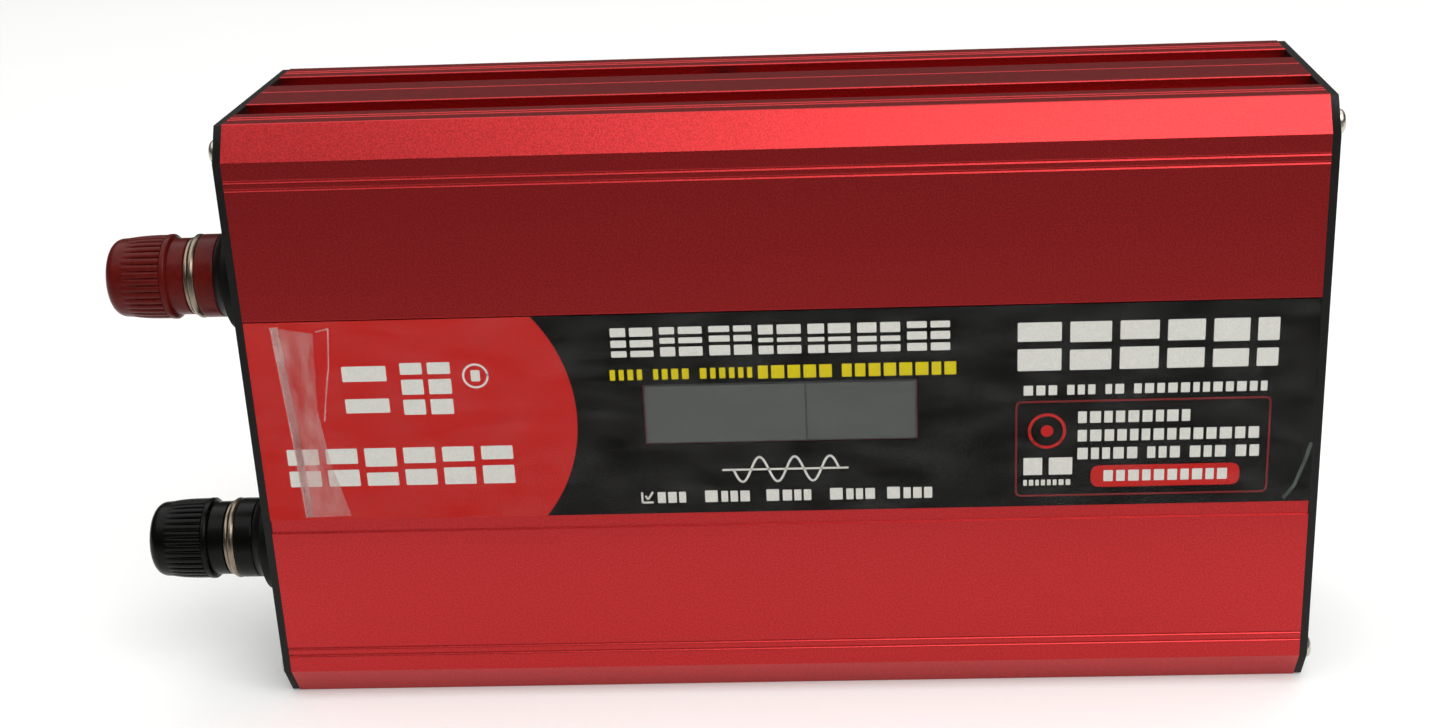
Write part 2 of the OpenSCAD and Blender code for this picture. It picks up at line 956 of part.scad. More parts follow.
// Threaded stud through the end plate.
module post_stud(i) {
    color("#c9ab6a")
        at_post(i)
            bar_x(-ring_end - stud_reach, plate_thickness + stud_inside, stud_r);
}

// Black flange that insulates the post from the end plate.
module post_flange(i) {
    color("#141414")
        at_post(i)
            turned()
                polygon([
                    [spigot_r + fit, 0],
                    [flange_r, 0],
                    [flange_r, flange_rim],
                    [collar_r + 0.3, flange_end],
                    [spigot_r + fit, flange_end]
                ]);
}

// Moulded collar whose spigot passes through the flange and the plate.
module post_collar(i) {
    at_post(i)
        turned() {
            ring_profile(flange_end, collar_end, stud_r + fit, collar_r);
            ring_profile(-plate_thickness, flange_end + 0.5, stud_r + fit, spigot_r);
        }
}

module contact_ring(i) {
    color("#d8c8a8")
        at_post(i)
            turned()
                ring_profile(collar_end, ring_end, stud_r + fit, collar_r + 0.1);
}

module clamp_washer(i) {
    color("#d8c8a8")
        at_post(i)
            turned()
                ring_profile(washer_start, washer_start + washer_thickness, stud_r + running, washer_r);
}

// Section of the knob's turned core: neck, raised ring and closed end with a round edge.
module knob_section() {
    edge_y = knob_end - knob_edge_r;
    core_r = knob_r - flute_r - 0.3;
    ring_profile(knob_start, skirt_start + 0.5, 0, neck_r);
    ring_profile(skirt_start, grip_start, 0, knob_r + 0.2);
    ring_profile(grip_start - 0.5, edge_y + 0.5, 0, core_r);
    ring_profile(edge_y - 0.5, edge_y, 0, knob_tip_r);
    ring_profile(edge_y - 0.5, knob_end, 0, knob_tip_r - knob_edge_r);
    translate([knob_tip_r - knob_edge_r, edge_y])
        intersection() {
            circle(knob_edge_r);
            square(knob_edge_r);
        }
}

// Outline of the knob's fluted grip.
module grip_outline() {
    difference() {
        circle(knob_r);
        for (k = [0 : flute_count - 1])
            rotate(k * 360 / flute_count)
                translate([knob_r + flute_r * 0.45, 0])
                    circle(flute_r);
    }
}

module knob(i) {
    at_post(i)
        difference() {
            union() {
                turned()
                    knob_section();
                rotate([0, -90, 0])
                    translate([0, 0, grip_start - 0.3])
                        linear_extrude(knob_end - knob_edge_r - grip_start)
                            grip_outline();
            }
            bar_x(-knob_end + knob_cap, -knob_start + past, stud_r + running);
        }
}

// Crimped lug on the stud: a flat ring with a barrel for the cable.
module cable_lug(i) {
    color("#c08a4a")
        difference() {
            union() {
                translate([0, post_y, post_heights[i]])
                    bar_x(-lug_start, -lug_end, lug_r);
                translate([-lug_start, post_y, post_heights[i] - barrel_r])
                    cube([lug_thickness, barrel_start - post_y + 1, 2 * barrel_r]);
                translate([barrel_x, 0, post_heights[i]])
                    bar_y(barrel_start, barrel_end, barrel_r);
            }
            translate([0, post_y, post_heights[i]])
                bar_x(-lug_start - past, -lug_end + past, stud_r + fit);
            translate([barrel_x, 0, post_heights[i]])
                bar_y(barrel_start + 1.5, barrel_end + past, cable_r + fit);
        }
}

// Battery cable from its lug to the main board.
module battery_cable(i) {
    z = post_heights[i];
    wire([
        [barrel_x, barrel_start + 2, z],
        [barrel_x, barrel_end + lug_barrel - 2, z],
        [board_left + 8, barrel_end + 12, z],
        [board_left + 8, board_offset, z]
    ], cable_r);
}

module post_nuts() {
    color("silver")
        for (z = post_heights)
            translate([0, post_y, z])
                difference() {
                    translate([-lug_end, 0, 0])
                        rotate([0, 90, 0])
                            cylinder(h = nut_height, r = nut_flats / sqrt(3), $fn = 6);
                    bar_x(-lug_end - past, -nut_end + past, stud_r + fit);
                }
}

module post_inner_washers() {
    color("#2a2a2a")
        for (z = post_heights)
            translate([0, post_y, z])
                difference() {
                    bar_x(-half_length, -lug_start, inner_washer_r);
                    bar_x(-half_length - past, -lug_start + past, stud_r + fit);
                }
}

// Places children on the fan's axis.
module at_fan() {
    translate([0, fan_offset, mid_height])
        children();
}

module fan_frame() {
    color("#1a1b1c")
        at_fan() {
            along_x(-half_length, fan_inner)
                difference() {
                    rounded_rect(fan_size, fan_size, 3);
                    circle(duct_r);
                    at_fan_screws()
                        circle(screw_r + running);
                }
            along_x(fan_inner - strut_depth, fan_inner) {
                circle(hub_r);
                for (turn = [0 : 120 : 240])
                    rotate(turn)
                        translate([0, -1.5])
                            square([duct_r + 0.5, 3]);
            }
            bar_x(impeller_outer + 1, fan_inner - 1, shaft_r);
        }
}

module fan_impeller() {
    color("#222426")
        at_fan()
            difference() {
                union() {
                    bar_x(impeller_outer, impeller_inner, hub_r);
                    intersection() {
                        bar_x(impeller_outer + 0.3, impeller_inner - 0.3, duct_r - impeller_gap);
                        for (k = [0 : blade_count - 1])
                            rotate([k * 360 / blade_count, 0, 0])
                                translate([(impeller_outer + impeller_inner) / 2, 0, 0])
                                    rotate([0, 0, blade_angle])
                                        translate([-fan_depth, -blade_thickness / 2, 0])
                                            cube([2 * fan_depth, blade_thickness, duct_r]);
                    }
                }
                bar_x(impeller_outer + 0.7, impeller_inner + past, shaft_r + running);
            }
}

module fan_screws() {
    color("silver")
        at_fan()
            for (sy = [-1, 1], sz = [-1, 1])
                translate([-plate_outer, sy * (fan_size / 2 - fan_screw_inset), sz * (fan_size / 2 - fan_screw_inset)])
                    pan_screw(fan_depth + plate_thickness - 1, screw_r, screw_head_r - 0.4, screw_head_h - 0.6);
}

// Pin holes of the mains socket, in Y and Z around its centre.
module pin_holes() {
    for (s = [-1, 1])
        translate([s * pin_spacing / 2, -5])
            rounded_rect(pin_hole_width, pin_hole_height, 1);
    translate([0, 9])
        rounded_rect(pin_hole_height + 0.4, pin_hole_width + 1, 1);
}

module mains_socket() {
    color("#202224")
        translate([0, 0, socket_z])
            difference() {
                union() {
                    along_x(plate_outer, plate_outer + socket_face)
                        rounded_rect(socket_size, socket_size, 4);
                    along_x(half_length - socket_depth, plate_outer + 0.5)
                        rounded_rect(socket_body(), socket_body(), 3);
                }
                along_x(plate_outer + socket_face - pin_hole_depth, plate_outer + socket_face + past)
                    pin_holes();
            }
}

// Live, neutral and earth wires from the main board to the socket.
module mains_wires() {
    back = half_length - socket_depth;
    bend_x = back - mains_wire_pitch * 1.75;
    color("saddlebrown")
        for (i = [-1, 0, 1])
            let (y = i * mains_wire_pitch, z = socket_z + y / 2)
                wire([[back, y, z], [bend_x, y, z], [bend_x, board_offset, z]], mains_wire_r);
}

// Frame of the rocker switch with the pocket that the rocker tilts in.
module switch_frame() {
    pocket_h = switch_height - 2 * switch_border;
    pocket_w = switch_width - 2 * switch_border;
    color("#1c1d1e")
        translate([0, switch_offset, switch_z])
            difference() {
                union() {
                    along_x(plate_outer, plate_outer + switch_rim)
                        rounded_rect(switch_width, switch_height, 2);
                    along_x(half_length - switch_depth, plate_outer + 0.5)
                        square([switch_body_w(), switch_body_h()], center = true);
                }
                along_x(plate_outer - 12, plate_outer + switch_rim + past)
                    square([pocket_w, pocket_h], center = true);
                translate([rocker_pivot_x, 0, 0])
                    bar_y(-pocket_w / 2 - 0.7, pocket_w / 2 + 0.7, rocker_pin_r + running);
            }
}

// Rocker with a hollow top, tilted to its off side, on two pivot pins.
module switch_rocker() {
    pocket_w = switch_width - 2 * switch_border;
    width = pocket_w - 0.6;
    color("#0e0e0e")
        translate([rocker_pivot_x, switch_offset, switch_z])
            rotate([0, rocker_tilt, 0]) {
                along_y(-width / 2, width / 2)
                    polygon([
                        [-5, -rocker_half / 2],
                        [2, -rocker_half],
                        [7, -rocker_half],
                        [4.6, 0],
                        [7, rocker_half],
                        [2, rocker_half],
                        [-5, rocker_half / 2]
                    ]);
                bar_y(-pocket_w / 2 - 0.5, pocket_w / 2 + 0.5, rocker_pin_r);
            }
}

module usb_socket() {
    inner_w = usb_width - 2 * usb_wall;
    inner_h = usb_height - 2 * usb_wall;
    color("silver")
        translate([0, -usb_offset, usb_z])
            difference() {
                along_x(plate_outer - usb_depth, plate_outer + 0.6)
                    square([usb_width, usb_height], center = true);
                along_x(plate_outer - usb_depth + 2, plate_outer + 0.6 + past)
                    square([inner_w, inner_h], center = true);
            }
}

// Round indicator light with a domed end.
module indicator_light(y) {
    translate([0, y, lights_z]) {
        bar_x(half_length - 4, plate_outer + 0.6, light_r);
        translate([plate_outer + 0.6, 0, 0])
            intersection() {
                sphere(light_r);
                bar_x(-0.2, light_r + past, light_r);
            }
    }
}

front_shell();
rear_shell();
battery_end_plate();
mains_end_plate();
end_plate_screws();
clamp_screws();
front_label();
protective_film();
display_window();
display_cell();
display_board();
display_ribbon();
main_board();
driver_board();
fuses();
transformer_core(transformer_x);  // transformer_core_left
transformer_core(transformer_x + transformer_spacing);  // transformer_core_right
transformer_winding(transformer_x);  // transformer_winding_left
transformer_winding(transformer_x + transformer_spacing);  // transformer_winding_right
output_choke_core();
output_choke_winding();
input_capacitor(-1);  // input_capacitor_1
input_capacitor(0);  // input_capacitor_2
input_capacitor(1);  // input_capacitor_3
bus_capacitor(-1);  // bus_capacitor_1
bus_capacitor(1);  // bus_capacitor_2
input_transistors();
output_transistors();
input_insulator();
output_insulator();
input_clamp_bar();
output_clamp_bar();
post_stud(0);  // red_post_stud
post_flange(0);  // red_post_flange
color("#6a2018") post_collar(0);  // red_post_collar
contact_ring(0);  // red_contact_ring
clamp_washer(0);  // red_clamp_washer
color("#6a2018") knob(0);  // red_knob
cable_lug(0);  // red_cable_lug
color("darkred") battery_cable(0);  // red_battery_cable
post_stud(1);  // black_post_stud
post_flange(1);  // black_post_flange
color("#0e100c") post_collar(1);  // black_post_collar
contact_ring(1);  // black_contact_ring
clamp_washer(1);  // black_clamp_washer
color("#0e100c") knob(1);  // black_knob
cable_lug(1);  // black_cable_lug
color("#181818") battery_cable(1);  // black_battery_cable
post_nuts();
post_inner_washers();
fan_frame();
fan_impeller();
fan_screws();
mains_socket();
mains_wires();
switch_frame();
switch_rocker();
usb_socket();
color("limegreen") indicator_light(light_places()[0]);  // power_light
color("crimson") indicator_light(light_places()[1]);  // fault_light
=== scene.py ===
"""Power inverter in a red extruded case: the pieces that give it its looks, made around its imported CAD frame.

The file is laid out as an add-on: property groups hold the sizes and colours, an operator makes each group
of pieces, and a panel lists the operators. Everything is in metres; sizes written in millimetres end in * MM.
"""

import json
import math
import random

import bmesh
import bpy
from bpy.props import FloatProperty, FloatVectorProperty, IntProperty, PointerProperty
from mathutils import Matrix, Vector


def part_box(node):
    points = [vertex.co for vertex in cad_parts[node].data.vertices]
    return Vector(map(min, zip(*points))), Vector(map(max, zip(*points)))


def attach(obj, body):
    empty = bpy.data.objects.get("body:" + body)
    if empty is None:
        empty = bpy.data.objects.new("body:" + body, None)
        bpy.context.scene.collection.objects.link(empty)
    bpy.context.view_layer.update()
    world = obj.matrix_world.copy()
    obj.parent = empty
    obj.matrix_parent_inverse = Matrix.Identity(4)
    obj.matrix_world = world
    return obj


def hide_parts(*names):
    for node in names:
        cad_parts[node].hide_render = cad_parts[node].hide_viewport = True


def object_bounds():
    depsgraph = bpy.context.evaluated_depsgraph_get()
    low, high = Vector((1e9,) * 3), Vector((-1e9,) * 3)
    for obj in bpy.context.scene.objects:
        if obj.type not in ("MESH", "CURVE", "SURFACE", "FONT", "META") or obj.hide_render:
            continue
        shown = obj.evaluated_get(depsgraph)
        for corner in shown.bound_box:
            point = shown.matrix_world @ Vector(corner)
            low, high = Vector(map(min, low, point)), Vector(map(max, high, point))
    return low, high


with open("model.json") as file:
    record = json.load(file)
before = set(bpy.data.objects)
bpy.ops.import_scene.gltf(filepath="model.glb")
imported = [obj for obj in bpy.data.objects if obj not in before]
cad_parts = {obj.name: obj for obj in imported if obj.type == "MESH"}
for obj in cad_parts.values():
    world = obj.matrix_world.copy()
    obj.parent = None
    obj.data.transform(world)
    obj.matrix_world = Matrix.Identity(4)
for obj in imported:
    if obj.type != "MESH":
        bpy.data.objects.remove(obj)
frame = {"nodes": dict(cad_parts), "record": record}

bl_info = {
    "name": "Power Inverter",
    "version": (1, 0, 0),
    "blender": (4, 5, 0),
    "location": "View3D > Sidebar > Inverter",
    "description": "Makes the finished pieces of a power inverter around its CAD frame",
    "category": "Object",
}

MM = 0.001
NODES = frame["nodes"]
SLOTS = {part["node"]: part["material_slot"] for part in frame["record"]["subparts"]}
BODIES = {node: body for body, nodes in frame["record"]["behaviour"]["bodies"].items() for node in nodes}
CAD_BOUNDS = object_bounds()
CASE_LOW, CASE_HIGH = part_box("front_shell")
LABEL_LOW, LABEL_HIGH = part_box("front_label")
FILM_LOW, FILM_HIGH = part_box("protective_film")
POSTS = ("red", "black")


def linear(code):
    """A #RRGGBB colour as linear red, green and blue."""
    parts = [int(code[i : i + 2], 16) / 255 for i in (1, 3, 5)]
    return [p / 12.92 if p <= 0.04045 else ((p + 0.055) / 1.055) ** 2.4 for p in parts]


# ---------------------------------------------------------------- sizes and colours


def colour_property(name, description, code):
    return FloatVectorProperty(name=name, description=description, subtype="COLOR", size=3, min=0, max=1,
                               default=linear(code))


def length_property(name, description, millimetres):
    return FloatProperty(name=name, description=description, default=millimetres * MM, unit="LENGTH",
                         subtype="DISTANCE", min=0, precision=4)


class CaseLooks(bpy.types.PropertyGroup):
    """Edges and colours of the case and its end plates."""

    edge: length_property("Case edge", "Radius of the extrusion's edges", 0.4)
    plate_edge: length_property("Plate edge", "Rounding of the end plates' stamped edges", 0.3)
    screw_head: length_property("Screw head", "Height of the case's screw heads", 2.2)
    fan_screw_head: length_property("Fan screw head", "Height of the fan's screw heads", 1.6)
    red: colour_property("Anodised red", "Colour of the anodised aluminium", "#B52B2D")
    black: colour_property("Plate black", "Colour of the end plates' powder coat", "#0B0B0A")


class LabelLooks(bpy.types.PropertyGroup):
    """Inks of the front label. Its rows are measured from the label's left end and from the floor."""

    black: colour_property("Black field", "Ink of the label's dark field", "#090B09")
    red: colour_property("Red field", "Ink of the label's left field", "#AE1E1A")
    white: colour_property("White ink", "Ink of the rows of blocks", "#C9C9C2")
    yellow: colour_property("Yellow ink", "Ink of the line under the title", "#C4B512")
    frame_red: colour_property("Frame ink", "Ink of the thin frame at the right", "#6E2020")
    ink: length_property("Ink thickness", "Height of the print above the label", 0.03)
    wave_height: length_property("Wave height", "Height of the sine symbol from trough to crest", 6.6)
    wave_count: IntProperty(name="Wave periods", description="Periods in the sine symbol", default=3, min=1)


class TerminalLooks(bpy.types.PropertyGroup):
    """The two battery posts."""

    ribs: IntProperty(name="Knob ribs", description="Ribs round each knob's grip", default=36, min=8)
    rib_width: length_property("Rib width", "Width of a knob rib at its foot", 1.62)
    knob_edge: length_property("Knob edge", "Rounding of the knob's closed end", 2.8)
    neck: length_property("Knob neck", "Length of the knob's smooth neck", 4.3)
    skirt: length_property("Knob ring", "Width of the raised ring past the neck", 1.6)
    cap: length_property("Knob cap", "Thickness of the knob's closed end", 2.4)
    rim: length_property("Flange rim", "Thickness of the flange's rim", 2.4)
    pitch: length_property("Thread pitch", "Pitch of the stud's thread", 1.25)
    red: colour_property("Knob red", "Colour of the red post's moulded plastic", "#54100C")
    black: colour_property("Knob black", "Colour of the black post's moulded plastic", "#050604")


class EndLooks(bpy.types.PropertyGroup):
    """The fan and the sockets."""

    moulded_edge: length_property("Moulded edge", "Rounding of the moulded parts' edges", 0.35)
    hub: length_property("Fan hub", "Radius of the impeller's hub", 9.5)
    shaft: length_property("Fan shaft", "Radius of the hole for the fan's shaft", 1.55)
    blades: IntProperty(name="Fan blades", description="Blades on the impeller", default=7, min=3)


class StageLooks(bpy.types.PropertyGroup):
    """Camera, floor and lights."""

    place: FloatVectorProperty(name="Camera place", description="Where the camera stands", subtype="XYZ",
                               unit="LENGTH", default=(0.0212, -0.4848, 0.2558))
    yaw: FloatProperty(name="Yaw", description="Camera turned left of straight on", subtype="ANGLE",
                       unit="ROTATION", default=math.radians(2.52))
    pitch: FloatProperty(name="Pitch", description="Camera raised above level", subtype="ANGLE",
                         unit="ROTATION", default=math.radians(-21.27))
    roll: FloatProperty(name="Roll", description="Camera rolled about its own axis", subtype="ANGLE",
                        unit="ROTATION", default=math.radians(2.17))
    lens: FloatProperty(name="Lens", description="Focal length on a 36 mm sensor, in mm", default=50.36)
    shift: FloatVectorProperty(name="Lens shift", size=2, default=(-0.0487, 0.0226),
                               description="Shift of the lens, as a share of the frame's width")
    floor: colour_property("Floor", "Colour of the floor", "#F4F4F2")
    ambient: FloatProperty(name="Ambient", default=0.28, min=0,
                           description="Strength of the light from all round")
    glow: FloatProperty(name="Floor glow", default=0.12, min=0,
                        description="How much the floor is lit from within, near the object")
    key: FloatProperty(name="Key light", default=8.5, min=0,
                       description="Power of the small light, in watts")
    overhead: FloatProperty(name="Overhead light", default=72.0, min=0,
                            description="Power of the large light, in watts")


def looks(group):
    return getattr(bpy.context.scene, "inverter_" + group)


# ---------------------------------------------------------------- node trees


def add_node(tree, kind, inputs=None, **settings):
    """Adds a node. An input given as a socket is linked, and any other value is set."""
    node = tree.nodes.new(kind)
    for name, value in settings.items():
        setattr(node, name, value)
    for key, value in (inputs or {}).items():
        socket = node.inputs[key]
        if isinstance(value, bpy.types.NodeSocket):
            tree.links.new(value, socket)
        else:
            socket.default_value = value
    return node


def start_material(name):
    material = bpy.data.materials.new(name)
    material.use_nodes = True
    material.node_tree.nodes.clear()
    return material, material.node_tree


def end_material(tree, inputs):
    """Closes a material with a Principled shader that has these inputs."""
    shader = add_node(tree, "ShaderNodeBsdfPrincipled", inputs)
    add_node(tree, "ShaderNodeOutputMaterial", {"Surface": shader.outputs[0]})


def place_of(tree, stretch=(1, 1, 1)):
    """The point's own coordinates in metres, stretched on each axis."""
    place = add_node(tree, "ShaderNodeTexCoord").outputs["Object"]
    return add_node(tree, "ShaderNodeMapping", {"Vector": place, "Scale": stretch}).outputs[0]


def grain(tree, size, stretch=(1, 1, 1), detail=2.0):
    """Noise whose grains are this many metres wide."""
    return add_node(tree, "ShaderNodeTexNoise", {
        "Vector": place_of(tree, stretch), "Scale": 1 / size, "Detail": detail, "Roughness": 0.55,
    }).outputs["Fac"]


def spread(tree, value, low, high, start=0.3, end=0.7):
    """Noise between start and end, mapped to low and high."""
    return add_node(tree, "ShaderNodeMapRange", {
        "Value": value, "From Min": start, "From Max": end, "To Min": low, "To Max": high}).outputs["Result"]


def tint(tree, value, first, second, start=0.3, end=0.7):
    """Two colours blended over noise between start and end."""
    ramp = add_node(tree, "ShaderNodeValToRGB", {"Fac": value})
    low, high = ramp.color_ramp.elements
    low.position, low.color = start, (*first, 1)
    high.position, high.color = end, (*second, 1)
    return ramp.outputs["Color"]


def bumps(tree, height, depth, strength=1.0, normal=None):
    inputs = {"Height": height, "Distance": depth, "Strength": strength}
    if normal is not None:
        inputs["Normal"] = normal
    return add_node(tree, "ShaderNodeBump", inputs).outputs["Normal"]


def shade(colour, factor):
    """The colour made lighter or darker, kept in range."""
    return [min(1.0, c * factor) for c in colour]


# ---------------------------------------------------------------- materials


def anodised_aluminium():
    """Extruded aluminium, blasted with fine beads and dyed red in its anodised skin.

    It gives the eye a soft metallic sheen, sparkling in the small when lit, with faint lines along the
    extrusion. Blasting pits are about 0.15 mm, drawn at 0.45 mm so that they show.
    """
    material, tree = start_material("anodised_aluminium")
    red = looks("case").red
    pits = grain(tree, 0.45 * MM, detail=1.0)
    clouds = grain(tree, 18 * MM, (0.35, 1, 1))
    lines = grain(tree, 1.1 * MM, (0.012, 1, 1), 1.0)
    speckle = tint(tree, pits, shade(red, 0.82), shade(red, 1.16), 0.34, 0.66)
    cloudy = add_node(tree, "ShaderNodeMixRGB", {
        "Fac": spread(tree, clouds, 0.0, 0.10), "Color1": speckle, "Color2": (*shade(red, 0.8), 1),
    }).outputs[0]
    fine = bumps(tree, pits, 0.03 * MM, 0.6)
    end_material(tree, {
        "Base Color": cloudy, "Metallic": 1.0, "Roughness": spread(tree, pits, 0.32, 0.38),
        "Normal": bumps(tree, lines, 0.003 * MM, 0.5, fine), "Coat Weight": 0.2, "Coat Roughness": 0.3})
    return material


def powder_coat():
    """Steel plate in a black powder coat: matt and slightly pebbled, with grains about 0.6 mm across."""
    material, tree = start_material("powder_coat")
    black = looks("case").black
    pebbles = grain(tree, 0.6 * MM)
    end_material(tree, {
        "Base Color": tint(tree, pebbles, black, shade(black, 1.7)),
        "Roughness": spread(tree, pebbles, 0.42, 0.6), "Specular IOR Level": 0.25,
        "Normal": bumps(tree, pebbles, 0.03 * MM, 0.7)})
    return material


def plated_steel(name, code, rough):
    """Plated steel fastener: a hard shine with scratches 0.2 mm wide, from the driver and from tumbling."""
    material, tree = start_material(name)
    metal = linear(code)
    scratches = grain(tree, 0.2 * MM, (1, 0.3, 1))
    end_material(tree, {
        "Base Color": tint(tree, scratches, shade(metal, 0.86), metal), "Metallic": 1.0,
        "Roughness": spread(tree, scratches, rough, rough + 0.14),
        "Normal": bumps(tree, scratches, 0.004 * MM, 0.5)})
    return material


def printed_ink(name, colour, rough=0.34):
    """Screen-printed ink on polyester film: even, semi-gloss, with a faint mesh texture 0.35 mm wide."""
    material, tree = start_material(name)
    weave = grain(tree, 0.35 * MM, detail=1.0)
    end_material(tree, {
        "Base Color": tint(tree, weave, shade(colour, 0.93), shade(colour, 1.07)),
        "Roughness": spread(tree, weave, rough, rough + 0.08), "Specular IOR Level": 0.03,
        "Normal": bumps(tree, weave, 0.001 * MM, 0.4)})
    return material


def moulded_plastic(name, colour, rough, depth=0.02, size=1.6):
    """Injection-moulded plastic: smooth, with uneven gloss and a flow ripple this deep and wide, in mm."""
    material, tree = start_material(name)
    flow = grain(tree, size * MM)
    fine = grain(tree, 0.25 * MM, detail=1.0)
    end_material(tree, {
        "Base Color": tint(tree, flow, shade(colour, 0.85), shade(colour, 1.15)),
        "Roughness": spread(tree, fine, rough, rough + 0.09), "IOR": 1.5, "Specular IOR Level": 0.12,
        "Normal": bumps(tree, flow, depth * MM, 0.35)})
    return material


def clear_film():
    """Thin polyethylene protective film: nearly clear and glossy, with soft wrinkles about 9 mm apart."""
    material, tree = start_material("clear_film")
    wrinkles = grain(tree, 9 * MM, (0.6, 1, 1.6), 3.0)
    end_material(tree, {
        "Base Color": tint(tree, wrinkles, linear("#E8DAD8"), linear("#FFFFFF")),
        "Roughness": 0.12, "IOR": 1.5, "Alpha": spread(tree, wrinkles, 0.002, 0.012),
        "Normal": bumps(tree, wrinkles, 0.06 * MM, 0.4)})
    return material


def lifted_film_glare(name, dark, pale, least, most):
    """The same film where it has lifted: creased and hazy with painted glare, a pale colour that stands in for
    light glancing off it, hiding least to most of what is under it.
    """
    material, tree = start_material(name)
    creases = grain(tree, 3.5 * MM, (1, 1, 0.35), 4.0)
    end_material(tree, {
        "Base Color": tint(tree, creases, linear(dark), linear(pale)),
        "Roughness": 0.35, "IOR": 1.5, "Alpha": spread(tree, creases, least, most),
        "Normal": bumps(tree, creases, 0.1 * MM, 0.5)})
    return material


def display_glass(name, code):
    """Unlit liquid-crystal glass: flat grey-green under a hard coat, with columns of cells 0.5 mm apart."""
    material, tree = start_material(name)
    grey = linear(code)
    cells = grain(tree, 0.5 * MM, (1, 1, 0.2), 1.0)
    end_material(tree, {
        "Base Color": tint(tree, cells, shade(grey, 0.92), shade(grey, 1.08)),
        "Roughness": spread(tree, cells, 0.3, 0.36), "Coat Weight": 0.4, "Coat Roughness": 0.08})
    return material


def lamp_lens(name, code):
    """Tinted acrylic lens of an indicator light: glossy and partly see-through, with a frosted core."""
    material, tree = start_material(name)
    colour = linear(code)
    frost = grain(tree, 0.8 * MM)
    end_material(tree, {
        "Base Color": tint(tree, frost, shade(colour, 0.8), colour),
        "Roughness": spread(tree, frost, 0.08, 0.16), "IOR": 1.49, "Transmission Weight": 0.35,
        "Subsurface Weight": 0.15, "Subsurface Scale": 0.6 * MM})
    return material


def machined_metal(name, code, rough, pitch):
    """Turned or plated metal: bright, with tool marks this many millimetres apart along the case's length."""
    material, tree = start_material(name)
    metal = linear(code)
    marks = grain(tree, pitch * MM, (1, 0.08, 0.08), 1.0)
    end_material(tree, {
        "Base Color": tint(tree, marks, shade(metal, 0.85), shade(metal, 1.05)), "Metallic": 1.0,
        "Roughness": spread(tree, marks, rough, rough + 0.12), "Normal": bumps(tree, marks, 0.01 * MM, 0.5)})
    return material


def solder_mask():
    """Glass-epoxy circuit board under green solder mask: glossy, with tracks 1.2 mm wide faintly raised."""
    material, tree = start_material("solder_mask")
    tracks = add_node(tree, "ShaderNodeTexVoronoi", {"Vector": place_of(tree), "Scale": 1 / (4 * MM)},
                      distance="CHEBYCHEV").outputs["Distance"]
    end_material(tree, {
        "Base Color": tint(tree, tracks, linear("#0F3B1E"), linear("#1D5A2C"), 0.45, 0.55),
        "Roughness": spread(tree, tracks, 0.3, 0.42), "Normal": bumps(tree, tracks, 0.03 * MM, 0.4)})
    return material


def wound_wire():
    """Enamelled copper wound in layers: amber stripes 1 mm apart with a varnished shine."""
    material, tree = start_material("wound_wire")
    turns = add_node(tree, "ShaderNodeTexWave", {
        "Vector": place_of(tree), "Scale": 1 / (3.2 * MM), "Distortion": 0.4,
    }, bands_direction="Z").outputs["Fac"]
    end_material(tree, {
        "Base Color": tint(tree, turns, linear("#7A3A14"), linear("#C9742C"), 0.2, 0.8), "Metallic": 0.6,
        "Roughness": spread(tree, turns, 0.25, 0.4), "Normal": bumps(tree, turns, 0.3 * MM, 0.8)})
    return material


_made = {}


def finish_for(slot):
    """The material of a slot, made when it is first asked for."""
    if slot not in _made:
        _made[slot] = FINISHES[slot]()
    return _made[slot]


